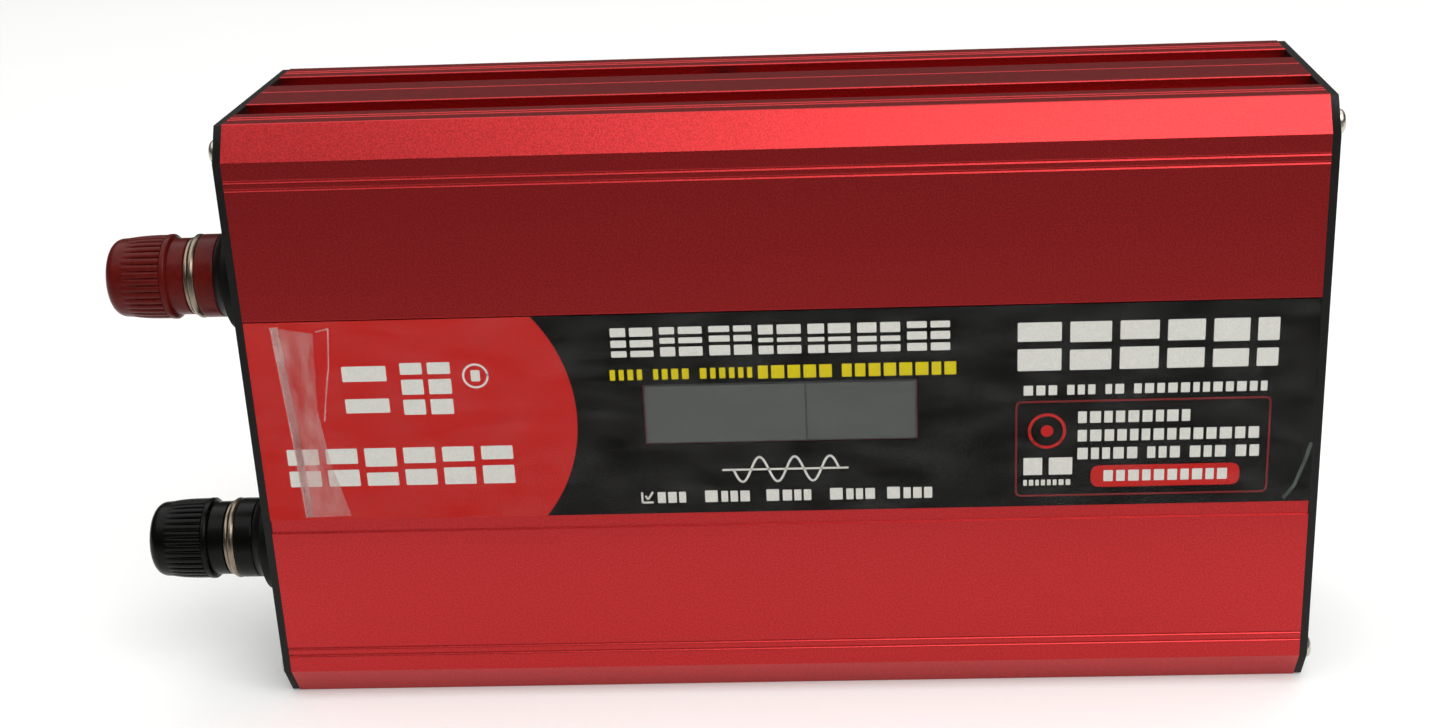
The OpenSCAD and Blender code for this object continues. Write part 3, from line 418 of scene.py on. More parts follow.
FINISHES = {
    "anodised_red": anodised_aluminium,
    "plate_black": powder_coat,
    "screw_steel": lambda: plated_steel("nickel_plated_steel", "#C9C4B8", 0.22),
    "screw_dark": lambda: plated_steel("blackened_steel", "#2B2926", 0.3),
    "label_print": lambda: printed_ink("label_black_ink", looks("label").black),
    "clear_film": clear_film,
    "window_grey": lambda: display_glass("display_glass", "#50565A"),
    "board_green": solder_mask,
    "ribbon_grey": lambda: moulded_plastic("ribbon_sheath", linear("#9A9A98"), 0.45),
    "fuse_orange": lambda: moulded_plastic("fuse_case", linear("#D96A12"), 0.2),
    "ferrite": lambda: moulded_plastic("sintered_ferrite", linear("#2B2B2D"), 0.5, 0.06, 0.7),
    "winding": wound_wire,
    "choke_core": lambda: moulded_plastic("painted_powder_core", linear("#B9A51C"), 0.45, 0.05, 0.8),
    "capacitor_sleeve": lambda: moulded_plastic("shrink_sleeve", linear("#16263F"), 0.25),
    "transistor_body": lambda: moulded_plastic("moulded_epoxy", linear("#1B1B1C"), 0.55, 0.03, 0.5),
    "insulating_strip": lambda: moulded_plastic("silicone_pad", linear("#9AA3B4"), 0.6, 0.03, 0.5),
    "clamp_metal": lambda: machined_metal("mill_aluminium", "#BDBDBA", 0.35, 0.4),
    "stud_brass": lambda: machined_metal("turned_brass", "#B9935A", 0.25, 0.3),
    "flange_black": lambda: moulded_plastic("moulded_nylon", linear("#0C0B0A"), 0.36),
    "knob_red": lambda: moulded_plastic("red_phenolic", looks("terminal").red, 0.24),
    "knob_black": lambda: moulded_plastic("black_phenolic", looks("terminal").black, 0.24),
    "contact_metal": lambda: machined_metal("nickel_plate", "#8C8070", 0.24, 0.35),
    "lug_copper": lambda: machined_metal("tinned_copper", "#B98A5E", 0.3, 0.4),
    "cable_red": lambda: moulded_plastic("red_silicone", linear("#8E1510"), 0.5, 0.03, 0.8),
    "cable_black": lambda: moulded_plastic("black_silicone", linear("#161616"), 0.5, 0.03, 0.8),
    "fan_plastic": lambda: moulded_plastic("fan_nylon", linear("#161617"), 0.4, 0.02, 0.9),
    "socket_plastic": lambda: moulded_plastic("socket_polycarbonate", linear("#1A1B1C"), 0.3),
    "wire_brown": lambda: moulded_plastic("wire_insulation", linear("#5A2E18"), 0.4),
    "rocker_plastic": lambda: moulded_plastic("rocker_nylon", linear("#101010"), 0.22),
    "usb_metal": lambda: plated_steel("stamped_steel", "#B8B8B8", 0.25),
    "light_green": lambda: lamp_lens("green_lens", "#2C8F3C"),
    "light_red": lambda: lamp_lens("red_lens", "#B51C1C"),
}


# ---------------------------------------------------------------- mesh tools


def new_object(name, mesh, material):
    piece = bpy.data.objects.new(name, mesh)
    bpy.context.scene.collection.objects.link(piece)
    piece.data.materials.clear()
    piece.data.materials.append(material)
    return piece


def object_from(name, bm, material):
    """A finished bmesh as an object: doubles merged and faces turned outwards."""
    bmesh.ops.remove_doubles(bm, verts=bm.verts, dist=1e-6)
    bmesh.ops.recalc_face_normals(bm, faces=bm.faces)
    mesh = bpy.data.meshes.new(name)
    bm.to_mesh(mesh)
    bm.free()
    return new_object(name, mesh, material)


def applied(piece):
    """The piece's modifiers worked into a plain mesh, and taken off."""
    shape = bpy.data.meshes.new_from_object(piece.evaluated_get(bpy.context.evaluated_depsgraph_get()))
    piece.modifiers.clear()
    piece.data = shape
    return piece


def smooth(piece, angle=34):
    """Smooth shading with sharp creases past this angle, in degrees, and flat faces kept flat."""
    piece.data.shade_smooth()
    piece.data.set_sharp_from_angle(angle=math.radians(angle))
    keep = piece.modifiers.new("flat faces", "WEIGHTED_NORMAL")
    keep.keep_sharp = True
    return applied(piece)


def settle(piece, *nodes):
    """The piece rides on the body of the CAD nodes that it stands for, and those nodes are hidden."""
    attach(piece, BODIES[nodes[0]])
    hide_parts(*nodes)
    return piece


def detail(piece, node, slot=None):
    """An added piece that rides with this CAD node."""
    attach(piece, BODIES[node])
    return piece


def merged_copy(node):
    """A CAD node's mesh with its triangles joined back into flat faces."""
    bm = bmesh.new()
    bm.from_mesh(NODES[node].data)
    bmesh.ops.remove_doubles(bm, verts=bm.verts, dist=1e-6)
    bmesh.ops.dissolve_limit(bm, angle_limit=math.radians(0.5), verts=bm.verts, edges=bm.edges)
    return bm


def eased(node, width, segments=2):
    """A copy of a CAD node with its edges rounded to this width."""
    bm = merged_copy(node)
    mesh = bpy.data.meshes.new(node)
    bm.to_mesh(mesh)
    bm.free()
    piece = new_object(node + "_body", mesh, finish_for(SLOTS[node]))
    bevel = piece.modifiers.new("eased edges", "BEVEL")
    bevel.width = width
    bevel.segments = segments
    bevel.limit_method = "ANGLE"
    bevel.angle_limit = math.radians(35)
    bevel.miter_outer = "MITER_ARC"
    return settle(smooth(applied(piece)), node)


def rounded(points, radius, steps=3):
    """A closed outline with its corners rounded, by less where its sides are short."""
    outline = []
    for i, corner in enumerate(points):
        before, after = points[i - 1] - corner, points[(i + 1) % len(points)] - corner
        turn = math.pi - before.angle(after)
        reach = min(radius * math.tan(turn / 2), 0.4 * before.length, 0.4 * after.length)
        if turn < math.radians(8) or reach <= 0:
            outline.append(corner)
            continue
        start, end = corner + before.normalized() * reach, corner + after.normalized() * reach
        for k in range(steps + 1):
            t = k / steps
            outline.append((1 - t) ** 2 * start + 2 * t * (1 - t) * corner + t * t * end)
    return outline


def prism(bm, outline, axis, low, high):
    """A closed solid along X (axis 0) or Y (axis 1): the outline, on the other two axes, from low to high."""
    def point(p, along):
        return (along, p[0], p[1]) if axis == 0 else (p[0], along, p[1])
    rings = [[bm.verts.new(point(p, along)) for p in outline] for along in (low, high)]
    for ring in rings:
        bm.faces.new(ring)
    for i in range(len(outline)):
        bm.faces.new((rings[0][i - 1], rings[0][i], rings[1][i], rings[1][i - 1]))


def about_x(x, radius, angle, centre):
    """A point at this radius and angle about a line along X through centre = (y, z)."""
    return x, centre[0] + radius * math.cos(angle), centre[1] + radius * math.sin(angle)


def lathe(bm, section, centre, turns=64):
    """Turns a section round the X axis through centre = (y, z). Each point is (x, radius)."""
    rings = []
    for x, radius in section:
        if radius < 1e-7:
            rings.append([bm.verts.new((x, *centre))])
            continue
        angles = [2 * math.pi * k / turns for k in range(turns)]
        rings.append([bm.verts.new(about_x(x, radius, angle, centre)) for angle in angles])
    for first, second in zip(rings, rings[1:]):
        for k in range(turns):
            corners = [first[(k - 1) % len(first)], first[k % len(first)], second[k % len(second)],
                       second[(k - 1) % len(second)]]
            bm.faces.new(list(dict.fromkeys(corners)))
    if section[0] != section[-1]:
        for ring in (rings[0], rings[-1]):
            if len(ring) > 1:
                bm.faces.new(ring)


def corner_arc(centre, radius, start, end, steps=5):
    """Points (x, radius) of an arc between two angles in degrees."""
    angles = [math.radians(start + (end - start) * k / steps) for k in range(steps + 1)]
    return [(centre[0] + radius * math.cos(a), centre[1] + radius * math.sin(a)) for a in angles]


def rectangle(x0, x1, z0, z1, radius=0.0, steps=4):
    """Outline of a rectangle with round corners."""
    corners = [Vector((x0, z0)), Vector((x1, z0)), Vector((x1, z1)), Vector((x0, z1))]
    return rounded(corners, radius, steps) if radius else corners


def new_tree(name, inputs):
    """A geometry node tree with these (name, socket kind) inputs after its geometry."""
    tree = bpy.data.node_groups.new(name, "GeometryNodeTree")
    tree.interface.new_socket("Geometry", in_out="INPUT", socket_type="NodeSocketGeometry")
    for label, kind in inputs:
        tree.interface.new_socket(label, in_out="INPUT", socket_type=kind)
    tree.interface.new_socket("Geometry", in_out="OUTPUT", socket_type="NodeSocketGeometry")
    return tree, add_node(tree, "NodeGroupInput").outputs


def close_tree(tree, instances, material):
    """Ends a tree in real geometry with its material."""
    real = add_node(tree, "GeometryNodeRealizeInstances", {"Geometry": instances})
    dyed = add_node(tree, "GeometryNodeSetMaterial", {"Geometry": real.outputs[0], "Material": material})
    add_node(tree, "NodeGroupOutput", {"Geometry": dyed.outputs[0]})


def run_tree(tree, name, mesh, material, values):
    """The tree's result on this mesh as a plain object."""
    piece = new_object(name, mesh, material)
    modifier = piece.modifiers.new("repeat", "NODES")
    modifier.node_group = tree
    for item in tree.interface.items_tree:
        if item.in_out == "INPUT" and item.name in values:
            modifier[item.identifier] = values[item.name]
    return applied(piece)


def facing_points(places):
    """A mesh of loose points, each with the direction that it faces."""
    mesh = bpy.data.meshes.new("places")
    mesh.from_pydata([p for p, _ in places], [], [])
    facing = mesh.attributes.new("facing", "FLOAT_VECTOR", "POINT")
    for k, (_, direction) in enumerate(places):
        facing.data[k].vector = direction
    return mesh


def screw_tree():
    """One head on each point, turned to face outwards and spun to where the driver left it."""
    tree, given = new_tree("screws", [("Head", "NodeSocketObject"), ("Seed", "NodeSocketInt"),
                                      ("Finish", "NodeSocketMaterial")])
    facing = add_node(tree, "GeometryNodeInputNamedAttribute", {"Name": "facing"}, data_type="FLOAT_VECTOR")
    aligned = add_node(tree, "FunctionNodeAlignRotationToVector", {
        "Vector": facing.outputs["Attribute"]}, axis="Z")
    spin = add_node(tree, "FunctionNodeRandomValue", {"Seed": given["Seed"]}, data_type="FLOAT")
    angle = add_node(tree, "ShaderNodeMath", {0: spin.outputs[1], 1: math.pi}, operation="MULTIPLY")
    about = add_node(tree, "FunctionNodeAxisAngleToRotation", {"Axis": (0, 0, 1), "Angle": angle.outputs[0]})
    turned = add_node(tree, "FunctionNodeRotateRotation", {
        "Rotation": aligned.outputs[0], "Rotate By": about.outputs[0]}, rotation_space="LOCAL")
    head = add_node(tree, "GeometryNodeObjectInfo", {"Object": given["Head"]})
    placed = add_node(tree, "GeometryNodeInstanceOnPoints", {
        "Points": given["Geometry"], "Instance": head.outputs["Geometry"], "Rotation": turned.outputs[0]})
    close_tree(tree, placed.outputs[0], given["Finish"])
    return tree


def ring_tree():
    """Copies of a shape spread evenly round the X axis through a point."""
    tree, given = new_tree("ring of copies", [
        ("Shape", "NodeSocketObject"), ("Count", "NodeSocketInt"),
        ("Centre", "NodeSocketVector"), ("Finish", "NodeSocketMaterial")])
    line = add_node(tree, "GeometryNodeMeshLine", {"Count": given["Count"], "Offset": (0, 0, 0)})
    index = add_node(tree, "GeometryNodeInputIndex")
    step = add_node(tree, "ShaderNodeMath", {0: 2 * math.pi, 1: given["Count"]}, operation="DIVIDE")
    angle = add_node(tree, "ShaderNodeMath", {0: index.outputs[0], 1: step.outputs[0]}, operation="MULTIPLY")
    about = add_node(tree, "FunctionNodeAxisAngleToRotation", {
        "Axis": (1, 0, 0), "Angle": angle.outputs[0]})
    shape = add_node(tree, "GeometryNodeObjectInfo", {"Object": given["Shape"]})
    placed = add_node(tree, "GeometryNodeInstanceOnPoints", {
        "Points": line.outputs[0], "Instance": shape.outputs["Geometry"], "Rotation": about.outputs[0]})
    moved = add_node(tree, "GeometryNodeTransform", {
        "Geometry": placed.outputs[0], "Translation": given["Centre"]})
    both = add_node(tree, "GeometryNodeJoinGeometry")
    tree.links.new(moved.outputs[0], both.inputs[0])
    tree.links.new(given["Geometry"], both.inputs[0])
    close_tree(tree, both.outputs[0], given["Finish"])
    return tree


def ring_of(name, shape, count, centre, base, material):
    """The base mesh joined with copies of the shape round the X axis."""
    piece = run_tree(ring_tree(), name, base.data, material, {
        "Shape": shape, "Count": count, "Centre": centre, "Finish": material})
    bpy.data.objects.remove(shape)
    bpy.data.objects.remove(base)
    return piece


# ---------------------------------------------------------------- case


def end_outline(node):
    """The outer outline, as (y, z), of an extruded CAD node's right-hand end."""
    bm = merged_copy(node)
    bm.edges.index_update()
    end = max(v.co.x for v in bm.verts)
    caps = {f for f in bm.faces if all(abs(v.co.x - end) < 1e-6 for v in f.verts)}
    rim = {e for e in bm.edges if len(caps.intersection(e.link_faces)) == 1}
    loops = []
    while rim:
        edge = min(rim, key=lambda e: e.index)
        rim.discard(edge)
        first, last = edge.verts
        loop = [first.co.yz, last.co.yz]
        while last is not first:
            edge = next(e for e in last.link_edges if e in rim)
            rim.discard(edge)
            last = edge.other_vert(last)
            loop.append(last.co.yz)
        loops.append(loop[:-1])
    bm.free()
    return max(loops, key=lambda loop: max(p.y for p in loop) - min(p.y for p in loop))


def shell(node):
    """Half of the extruded case, with its edges rounded."""
    bm = bmesh.new()
    prism(bm, rounded(end_outline(node), looks("case").edge), 0, CASE_LOW.x, CASE_HIGH.x)
    return object_from(node + "_body", bm, finish_for(SLOTS[node]))


def subtract(piece, cutter):
    """Cuts the cutter's shape out of the piece, and removes the cutter."""
    cut = piece.modifiers.new("opening", "BOOLEAN")
    cut.object = cutter
    cut.solver = "EXACT"
    applied(piece)
    bpy.data.objects.remove(cutter)
    return piece


class INVERTER_OT_shells(bpy.types.Operator):
    """Make the two halves of the extruded case"""

    bl_idname = "inverter.shells"
    bl_label = "Case halves"

    def execute(self, context):
        low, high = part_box("display_window")
        bm = bmesh.new()
        prism(bm, rectangle(low.x, high.x, low.z, high.z), 1, CASE_LOW.y - 2 * MM, high.y + 2 * MM)
        opening = object_from("opening", bm, finish_for("anodised_red"))
        settle(smooth(subtract(shell("front_shell"), opening)), "front_shell")
        settle(smooth(shell("rear_shell")), "rear_shell")
        return {"FINISHED"}


class INVERTER_OT_end_plates(bpy.types.Operator):
    """Make the two stamped end plates"""

    bl_idname = "inverter.end_plates"
    bl_label = "End plates"

    def execute(self, context):
        for node in ("battery_end_plate", "mains_end_plate"):
            eased(node, looks("case").plate_edge)
        return {"FINISHED"}


def pan_head(radius, height, shank, shank_radius):
    """A pan-head screw with a cross recess: its head stands on the origin and faces +Z."""
    flat = 0.35 * height
    section = [(-shank, 0), (-shank, shank_radius), (0, shank_radius), (0, radius), (flat, radius)]
    for degrees in range(15, 90, 15):
        a = math.radians(degrees)
        section.append((flat + (height - flat) * math.sin(a), radius * math.cos(a) ** 0.6))
    section.append((height, 0))
    bm = bmesh.new()
    lathe(bm, section, (0, 0), 32)
    bmesh.ops.rotate(bm, verts=bm.verts, cent=(0, 0, 0), matrix=Matrix.Rotation(math.radians(-90), 3, "Y"))
    head = object_from("pan_head", bm, finish_for("screw_steel"))
    arm, slit = 0.62 * radius, 0.15 * radius
    for half_x, half_y in ((arm, slit), (slit, arm)):
        bm = bmesh.new()
        prism(bm, rectangle(-half_x, half_x, -half_y, half_y), 1, 0.45 * height, 1.5 * height)
        bmesh.ops.rotate(bm, verts=bm.verts, cent=(0, 0, 0), matrix=Matrix.Rotation(math.radians(90), 3, "X"))
        subtract(head, object_from("recess", bm, finish_for("screw_steel")))
    return smooth(head)


def islands(node):
    """The lowest and highest corner of each separate solid in a CAD node."""
    bm = merged_copy(node)
    left, found = set(bm.verts), []
    while left:
        group, edge_of = set(), [left.pop()]
        while edge_of:
            vert = edge_of.pop()
            group.add(vert)
            near = {e.other_vert(vert) for e in vert.link_edges} & left
            left -= near
            edge_of.extend(near)
        places = [v.co for v in group]
        found.append((Vector(map(min, *places)), Vector(map(max, *places))))
    bm.free()
    return sorted(found, key=lambda box: tuple(box[0]))


def screws_for(node, axis, height, seed):
    """Screws in place of a CAD node's: they lie along this axis, and their heads face outwards."""
    finish = finish_for(SLOTS[node])
    middle = (CASE_LOW + CASE_HIGH) / 2
    places = []
    for low, high in islands(node):
        outward = 1 if low[axis] + high[axis] > 2 * middle[axis] else -1
        seat = (low + high) / 2
        seat[axis] = high[axis] - height if outward > 0 else low[axis] + height
        direction = Vector((0, 0, 0))
        direction[axis] = outward
        places.append((seat, direction))
        length, radius = high[axis] - low[axis] - height, (high[1] - low[1]) / 2
    head = pan_head(radius, height, length, 0.42 * radius)
    piece = run_tree(screw_tree(), node + "_body", facing_points(places), finish, {
        "Head": head, "Seed": seed, "Finish": finish})
    bpy.data.objects.remove(head)
    return settle(piece, node)


class INVERTER_OT_screws(bpy.types.Operator):
    """Make the end plates' screws, the clamp screws and the fan's screws"""

    bl_idname = "inverter.screws"
    bl_label = "Screws"

    def execute(self, context):
        screws_for("end_plate_screws", 0, looks("case").screw_head, 3)
        screws_for("clamp_screws", 2, looks("case").screw_head, 5)
        screws_for("fan_screws", 0, looks("case").fan_screw_head, 8)
        return {"FINISHED"}


# ---------------------------------------------------------------- front label

LABEL_LEFT = LABEL_LOW.x
FLOOR = CASE_LOW.z

# Places of the print, in mm: x from the label's left end and z from the floor.
FIELD_EDGE = 69.4, (78.5, 73.3), 69.2
SIGN_ROW = 59.6, 69.6
SIGN_START, SIGN_STEP, SIGN_WIDTH = 6.4, 9.6, 7.8
TITLE_ROW = 91.8, 99.2
TITLE_START, TITLE_STEP, TITLE_WIDTH = 88.0, 11.8, 10.2
RATING_ROW = 86.0, 98.2
RATING_BLOCKS = (185.0, 195.4, 1), (197.4, 207.2, 1), (209.2, 218.4, 1), (220.4, 229.2, 1), (231.2, 246.6, 2)
CHECK_ROW = 53.4, 56.3
CHECK_WORDS = 97.0, 112.7, 127.8, 143.4, 157.4
WAVE_LEVEL, WAVE_START, WAVE_END = 61.9, 116.0, 141.8
WAVE_LINE = 113.3, 144.1
NOTICE_ROWS = (  # x0, x1, z0, z1, blocks, gap, blocks with a wide gap after them
    (186.6, 198.4, 58.9, 63.4, 2, 1.6, ()),
    (186.6, 198.0, 56.1, 57.6, 8, 0.5, ()),
    (199.6, 226.4, 72.3, 75.3, 9, 0.8, ()),
    (199.6, 243.0, 67.5, 70.5, 14, 0.8, ()),
    (199.6, 243.2, 62.8, 65.8, 13, 0.8, (4, 7, 10)),
)
NOTICE_RING = 192.2, 70.4


class Print:
    """One ink on the label: flat shapes, placed in mm from the label's left end and from the floor."""

    def __init__(self, level=1):
        self.bm = bmesh.new()
        ink = looks("label").ink
        self.back = LABEL_LOW.y - (level - 1) * ink
        self.front = LABEL_LOW.y - level * ink

    def shape(self, points):
        outline = [Vector((LABEL_LEFT + x * MM, FLOOR + z * MM)) for x, z in points]
        prism(self.bm, outline, 1, self.front, self.back)

    def tile(self, x0, x1, z0, z1, radius=0.35):
        outline = rectangle(x0, x1, z0, z1, min(radius, 0.49 * (x1 - x0), 0.49 * (z1 - z0)))
        self.shape([tuple(p) for p in outline])

    def block(self, x0, x1, z0, z1, gap, rng, rows=2, columns=1):
        """A block the size of a written sign, split by thin slits into cells of uneven size."""
        stops = [[0, 1], [0, 1]]
        for line, count in zip(stops, (rows, columns)):
            line[1:1] = [(k + rng.uniform(-0.22, 0.22)) / count for k in range(1, count)]
        for low, high in zip(stops[0], stops[0][1:]):
            for left, right in zip(stops[1], stops[1][1:]):
                self.tile(x0 + left * (x1 - x0) + (gap / 2 if left else 0),
                          x0 + right * (x1 - x0) - (gap / 2 if right < 1 else 0),
                          z0 + low * (z1 - z0) + (gap / 2 if low else 0),
                          z0 + high * (z1 - z0) - (gap / 2 if high < 1 else 0), 0.3)

    def row(self, x0, x1, z0, z1, count, gap, rng, words=()):
        """A row of small plain blocks of uneven width, with a wider gap after the ones listed in words."""
        weights = [rng.uniform(0.8, 1.2) for _ in range(count)]
        room = x1 - x0 - gap * (count - 1) - 2 * gap * len(words)
        x = x0
        for k, weight in enumerate(weights):
            width = room * weight / sum(weights)
            self.tile(x, x + width, z0, z1, 0.2)
            x += width + gap + (2 * gap if k in words else 0)

    def ring(self, x, z, outer, inner, steps=28):
        angles = [2 * math.pi * k / steps for k in range(steps)]
        for first, second in zip(angles, angles[1:] + angles[:1]):
            self.shape([(x + r * math.cos(a), z + r * math.sin(a)) for r, a in
                        ((inner, first), (outer, first), (outer, second), (inner, second))])

    def ribbon(self, points, width):
        """A line of this width through the points."""
        for (x0, z0), (x1, z1) in zip(points, points[1:]):
            across = Vector((z0 - z1, x1 - x0)).normalized() * width / 2
            self.shape([(x0 + across.x, z0 + across.y), (x0 - across.x, z0 - across.y),
                        (x1 - across.x, z1 - across.y), (x1 + across.x, z1 + across.y)])

    def done(self, name, material):
        return detail(smooth(object_from(name, self.bm, material)), "front_label")


def arc_through(first, middle, last, steps=24):
    """Points along the circle's arc from the first point through the middle one to the last."""
    a, b, c = (Vector(p) for p in (first, middle, last))
    turn = 2 * ((a.x - c.x) * (b.y - c.y) - (a.y - c.y) * (b.x - c.x))
    p, q = a.length_squared - c.length_squared, b.length_squared - c.length_squared
    centre = Vector((p * (b.y - c.y) - q * (a.y - c.y), q * (a.x - c.x) - p * (b.x - c.x))) / turn
    start, end = (math.atan2(v.y - centre.y, v.x - centre.x) for v in (a, c))
    radius = (a - centre).length
    angles = [start + (end - start) * k / steps for k in range(steps + 1)]
    return [(centre.x + radius * math.cos(t), centre.y + radius * math.sin(t)) for t in angles]


def label_height():
    return (LABEL_LOW.z - FLOOR) / MM, (LABEL_HIGH.z - FLOOR) / MM


def red_field():
    low, high = label_height()
    ink = Print()
    foot, middle, top = FIELD_EDGE
    ink.shape([(0, high), (0, low)] + arc_through((foot, low), middle, (top, high)))
    return ink.done("label_red_field", printed_ink("label_red_ink", looks("label").red))


def white_print():
    """The rows of blocks: the big signs at the left, the title, the rating row and the small rows."""
    rng = random.Random(11)
    ink = Print(2)
    ink.block(22.4, 33.2, 78.9, 91.0, 4.5, rng)
    ink.block(36.6, 48.8, 78.2, 91.6, 1.3, rng, 3, 2)
    ink.ring(54.8, 87.9, 3.2, 2.7)
    ink.tile(53.7, 55.9, 86.5, 89.4)
    for k in range(6):
        left = SIGN_START + k * SIGN_STEP
        ink.block(left, left + SIGN_WIDTH, *SIGN_ROW, 1.6, rng)
    for k in range(7):
        left = TITLE_START + k * TITLE_STEP
        ink.block(left, left + TITLE_WIDTH, *TITLE_ROW, 0.9, rng, 3, 2)
    for left, right, columns in RATING_BLOCKS:
        ink.block(left, right, *RATING_ROW, 1.9, rng, 2, columns)
    ink.row(186.5, 244.4, 79.7, 82.2, 20, 0.8, rng, (2, 5, 7))
    for k, left in enumerate(CHECK_WORDS):
        ink.row(left, left + 7.0, *CHECK_ROW, 3, 0.6, rng)
        box = left - 4.0
        if k:
            ink.tile(box, box + 3.1, 53.4, 56.5, 0.2)
    for points in (((93.2, 56.3), (93.2, 53.6), (95.9, 53.6)), ((94.0, 55.4), (94.6, 54.4), (95.9, 56.4))):
        ink.ribbon(points, 0.5)
    for *place, blocks, gap, words in NOTICE_ROWS:
        ink.row(*place, blocks, gap, rng, words)
    periods, half = looks("label").wave_count, looks("label").wave_height / MM / 2
    steps = 16 * periods
    wave = [(WAVE_START + (WAVE_END - WAVE_START) * k / steps,
             WAVE_LEVEL - half * math.sin(2 * math.pi * periods * k / steps)) for k in range(steps + 1)]
    ink.ribbon(wave, 0.55)
    ink.ribbon([(x, WAVE_LEVEL) for x in WAVE_LINE], 0.5)
    return ink.done("label_white_print", printed_ink("label_white_ink", looks("label").white))


def yellow_print():
    rng = random.Random(4)
    ink = Print(2)
    ink.row(87.3, 121.6, 85.9, 88.6, 14, 0.9, rng, (3, 7))
    ink.row(123.0, 170.4, 85.6, 88.9, 13, 0.8, rng, (4,))
    return ink.done("label_yellow_print", printed_ink("label_yellow_ink", looks("label").yellow))


def notice_frame():
    ink = Print(2)
    outline = rectangle(184.8, 245.4, 53.4, 78.0, 1.4)
    ink.ribbon([tuple(p) for p in outline] + [tuple(outline[0])], 0.45)
    return ink.done("label_notice_frame", printed_ink("label_frame_ink", looks("label").frame_red))


def red_print():
    ink = Print(2)
    for outer, inner in ((4.6, 3.9), (1.5, 0.0001)):
        ink.ring(*NOTICE_RING, outer, inner)
    ink.tile(202.9, 238.8, 55.4, 61.1, 2.7)
    ink.done("label_red_print", printed_ink("label_bright_red_ink", looks("label").red))
    rng = random.Random(7)
    top = Print(3)
    top.row(206.0, 235.8, 56.9, 59.8, 10, 0.8, rng)
    return top.done("label_pill_print", bpy.data.materials["label_white_ink"])


class INVERTER_OT_label(bpy.types.Operator):
    """Make the label's inks: the red field, rows of blocks, sine symbol and notice frame"""

    bl_idname = "inverter.label"
    bl_label = "Front label"

    def execute(self, context):
        NODES["front_label"].data.materials[0] = finish_for("label_print")
        red_field()
        white_print()
        yellow_print()
        notice_frame()
        red_print()
        return {"FINISHED"}


class INVERTER_OT_film(bpy.types.Operator):
    """Make the clear protective film, with the strip where it has lifted, creased and hazy with painted glare,
    and the painted sheen of its fold at the right
    """

    bl_idname = "inverter.film"
    bl_label = "Protective film"

    def execute(self, context):
        thin = looks("label").ink
        low, high = label_height()
        bm = bmesh.new()
        prism(bm, rectangle(FILM_LOW.x, FILM_HIGH.x, FILM_LOW.z, FILM_HIGH.z), 1, FILM_LOW.y + 0.2 * thin,
              FILM_LOW.y + thin)
        settle(object_from("film", bm, finish_for("clear_film")), "protective_film")
        lifted, crease, fold = Print(), Print(), Print()
        for ink in (lifted, crease, fold):
            ink.back, ink.front = FILM_LOW.y + 0.2 * thin, FILM_LOW.y
        lifted.shape([(6.6, high - 1.2), (8.6, 70), (9.4, low + 0.8), (20.6, low + 1.0), (17.0, 66),
                      (15.4, 80), (16.6, high - 3)])
        # Painted glare: the lifted strip is real, but its hazy pale pink colour stands in for light glancing
        # off the film.
        strip_glare = lifted_film_glare("lifted_film_glare", "#E08C86", "#F6C4BE", 0.05, 0.26)
        lifted.done("film_lifted_strip", strip_glare)
        # Painted glare along the creases of the lifted strip: pale pink lines that stand in for light caught by
        # the creased film.
        crease.ribbon([(7.3, high - 1.2), (9.3, 70), (10.1, low + 0.8)], 2.0)
        crease.ribbon([(17.2, high - 2.6), (20.4, high - 1.8), (19.4, 91), (18.0, 84), (16.8, 77)], 0.35)
        crease.done("film_creases", lifted_film_glare("crease_glare_film", "#EBA8A2", "#FBDAD6", 0.16, 0.46))
        # Painted sheen: the fold at the right end is real, but its grey line stands in for light caught by the
        # folded film.
        fold.ribbon([(249.6, low + 0.8), (252.2, 55), (254.6, 62), (255.6, 66)], 0.9)
        fold.done("film_right_fold", lifted_film_glare("film_fold_sheen", "#3C4443", "#6E7775", 0.25, 0.7))
        return {"FINISHED"}


class INVERTER_OT_display(bpy.types.Operator):
    """Make the display: its window, two grey fields and their dividing line"""

    bl_idname = "inverter.display"
    bl_label = "Display"

    def execute(self, context):
        low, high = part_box("display_window")
        split = LABEL_LEFT + 134.2 * MM
        line = 0.25 * MM
        edge = 0.4 * MM
        depth = 0.3 * MM
        bm = bmesh.new()
        prism(bm, rectangle(low.x, high.x, low.z, high.z), 1, low.y + depth, high.y)
        settle(object_from("display_body", bm, display_glass("display_border", "#2A2E2E")), "display_window")
        for name, x0, x1, code in (("display_left", low.x + edge, split - line, "#404440"),
                                   ("display_right", split + line, high.x - edge, "#3E423E")):
            bm = bmesh.new()
            prism(bm, rectangle(x0, x1, low.z + edge, high.z - edge, 0.2 * MM), 1, low.y, low.y + depth)
            detail(smooth(object_from(name, bm, display_glass(name + "_glass", code))), "display_window")
        return {"FINISHED"}


# ---------------------------------------------------------------- battery posts


class Post:
    """One battery post: its centre line, and a way to turn rings about it."""

    def __init__(self, colour):
        self.colour = colour
        low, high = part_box(colour + "_post_stud")
        self.centre = ((low.y + high.y) / 2, (low.z + high.z) / 2)
        self.bore = (high.y - low.y) / 2 + 0.05 * MM

    def box(self, part):
        """Where a part starts next to the case and ends, along X, and its largest radius."""
        low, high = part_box(f"{self.colour}_{part}")
        return high.x, low.x, (high.y - low.y) / 2

    def turned(self, part, profile, radius):
        """A ring round the stud for a CAD part. Its profile, (x, radius), runs outwards from the case."""
        node = f"{self.colour}_{part}"
        closed = profile + [(profile[-1][0], self.bore), (profile[0][0], self.bore)]
        soft = [tuple(p) for p in rounded([Vector(p) for p in closed], radius, 4)]
        bm = bmesh.new()
        lathe(bm, soft + soft[:1], self.centre, 96)
        return settle(smooth(object_from(node + "_body", bm, finish_for(SLOTS[node]))), node)


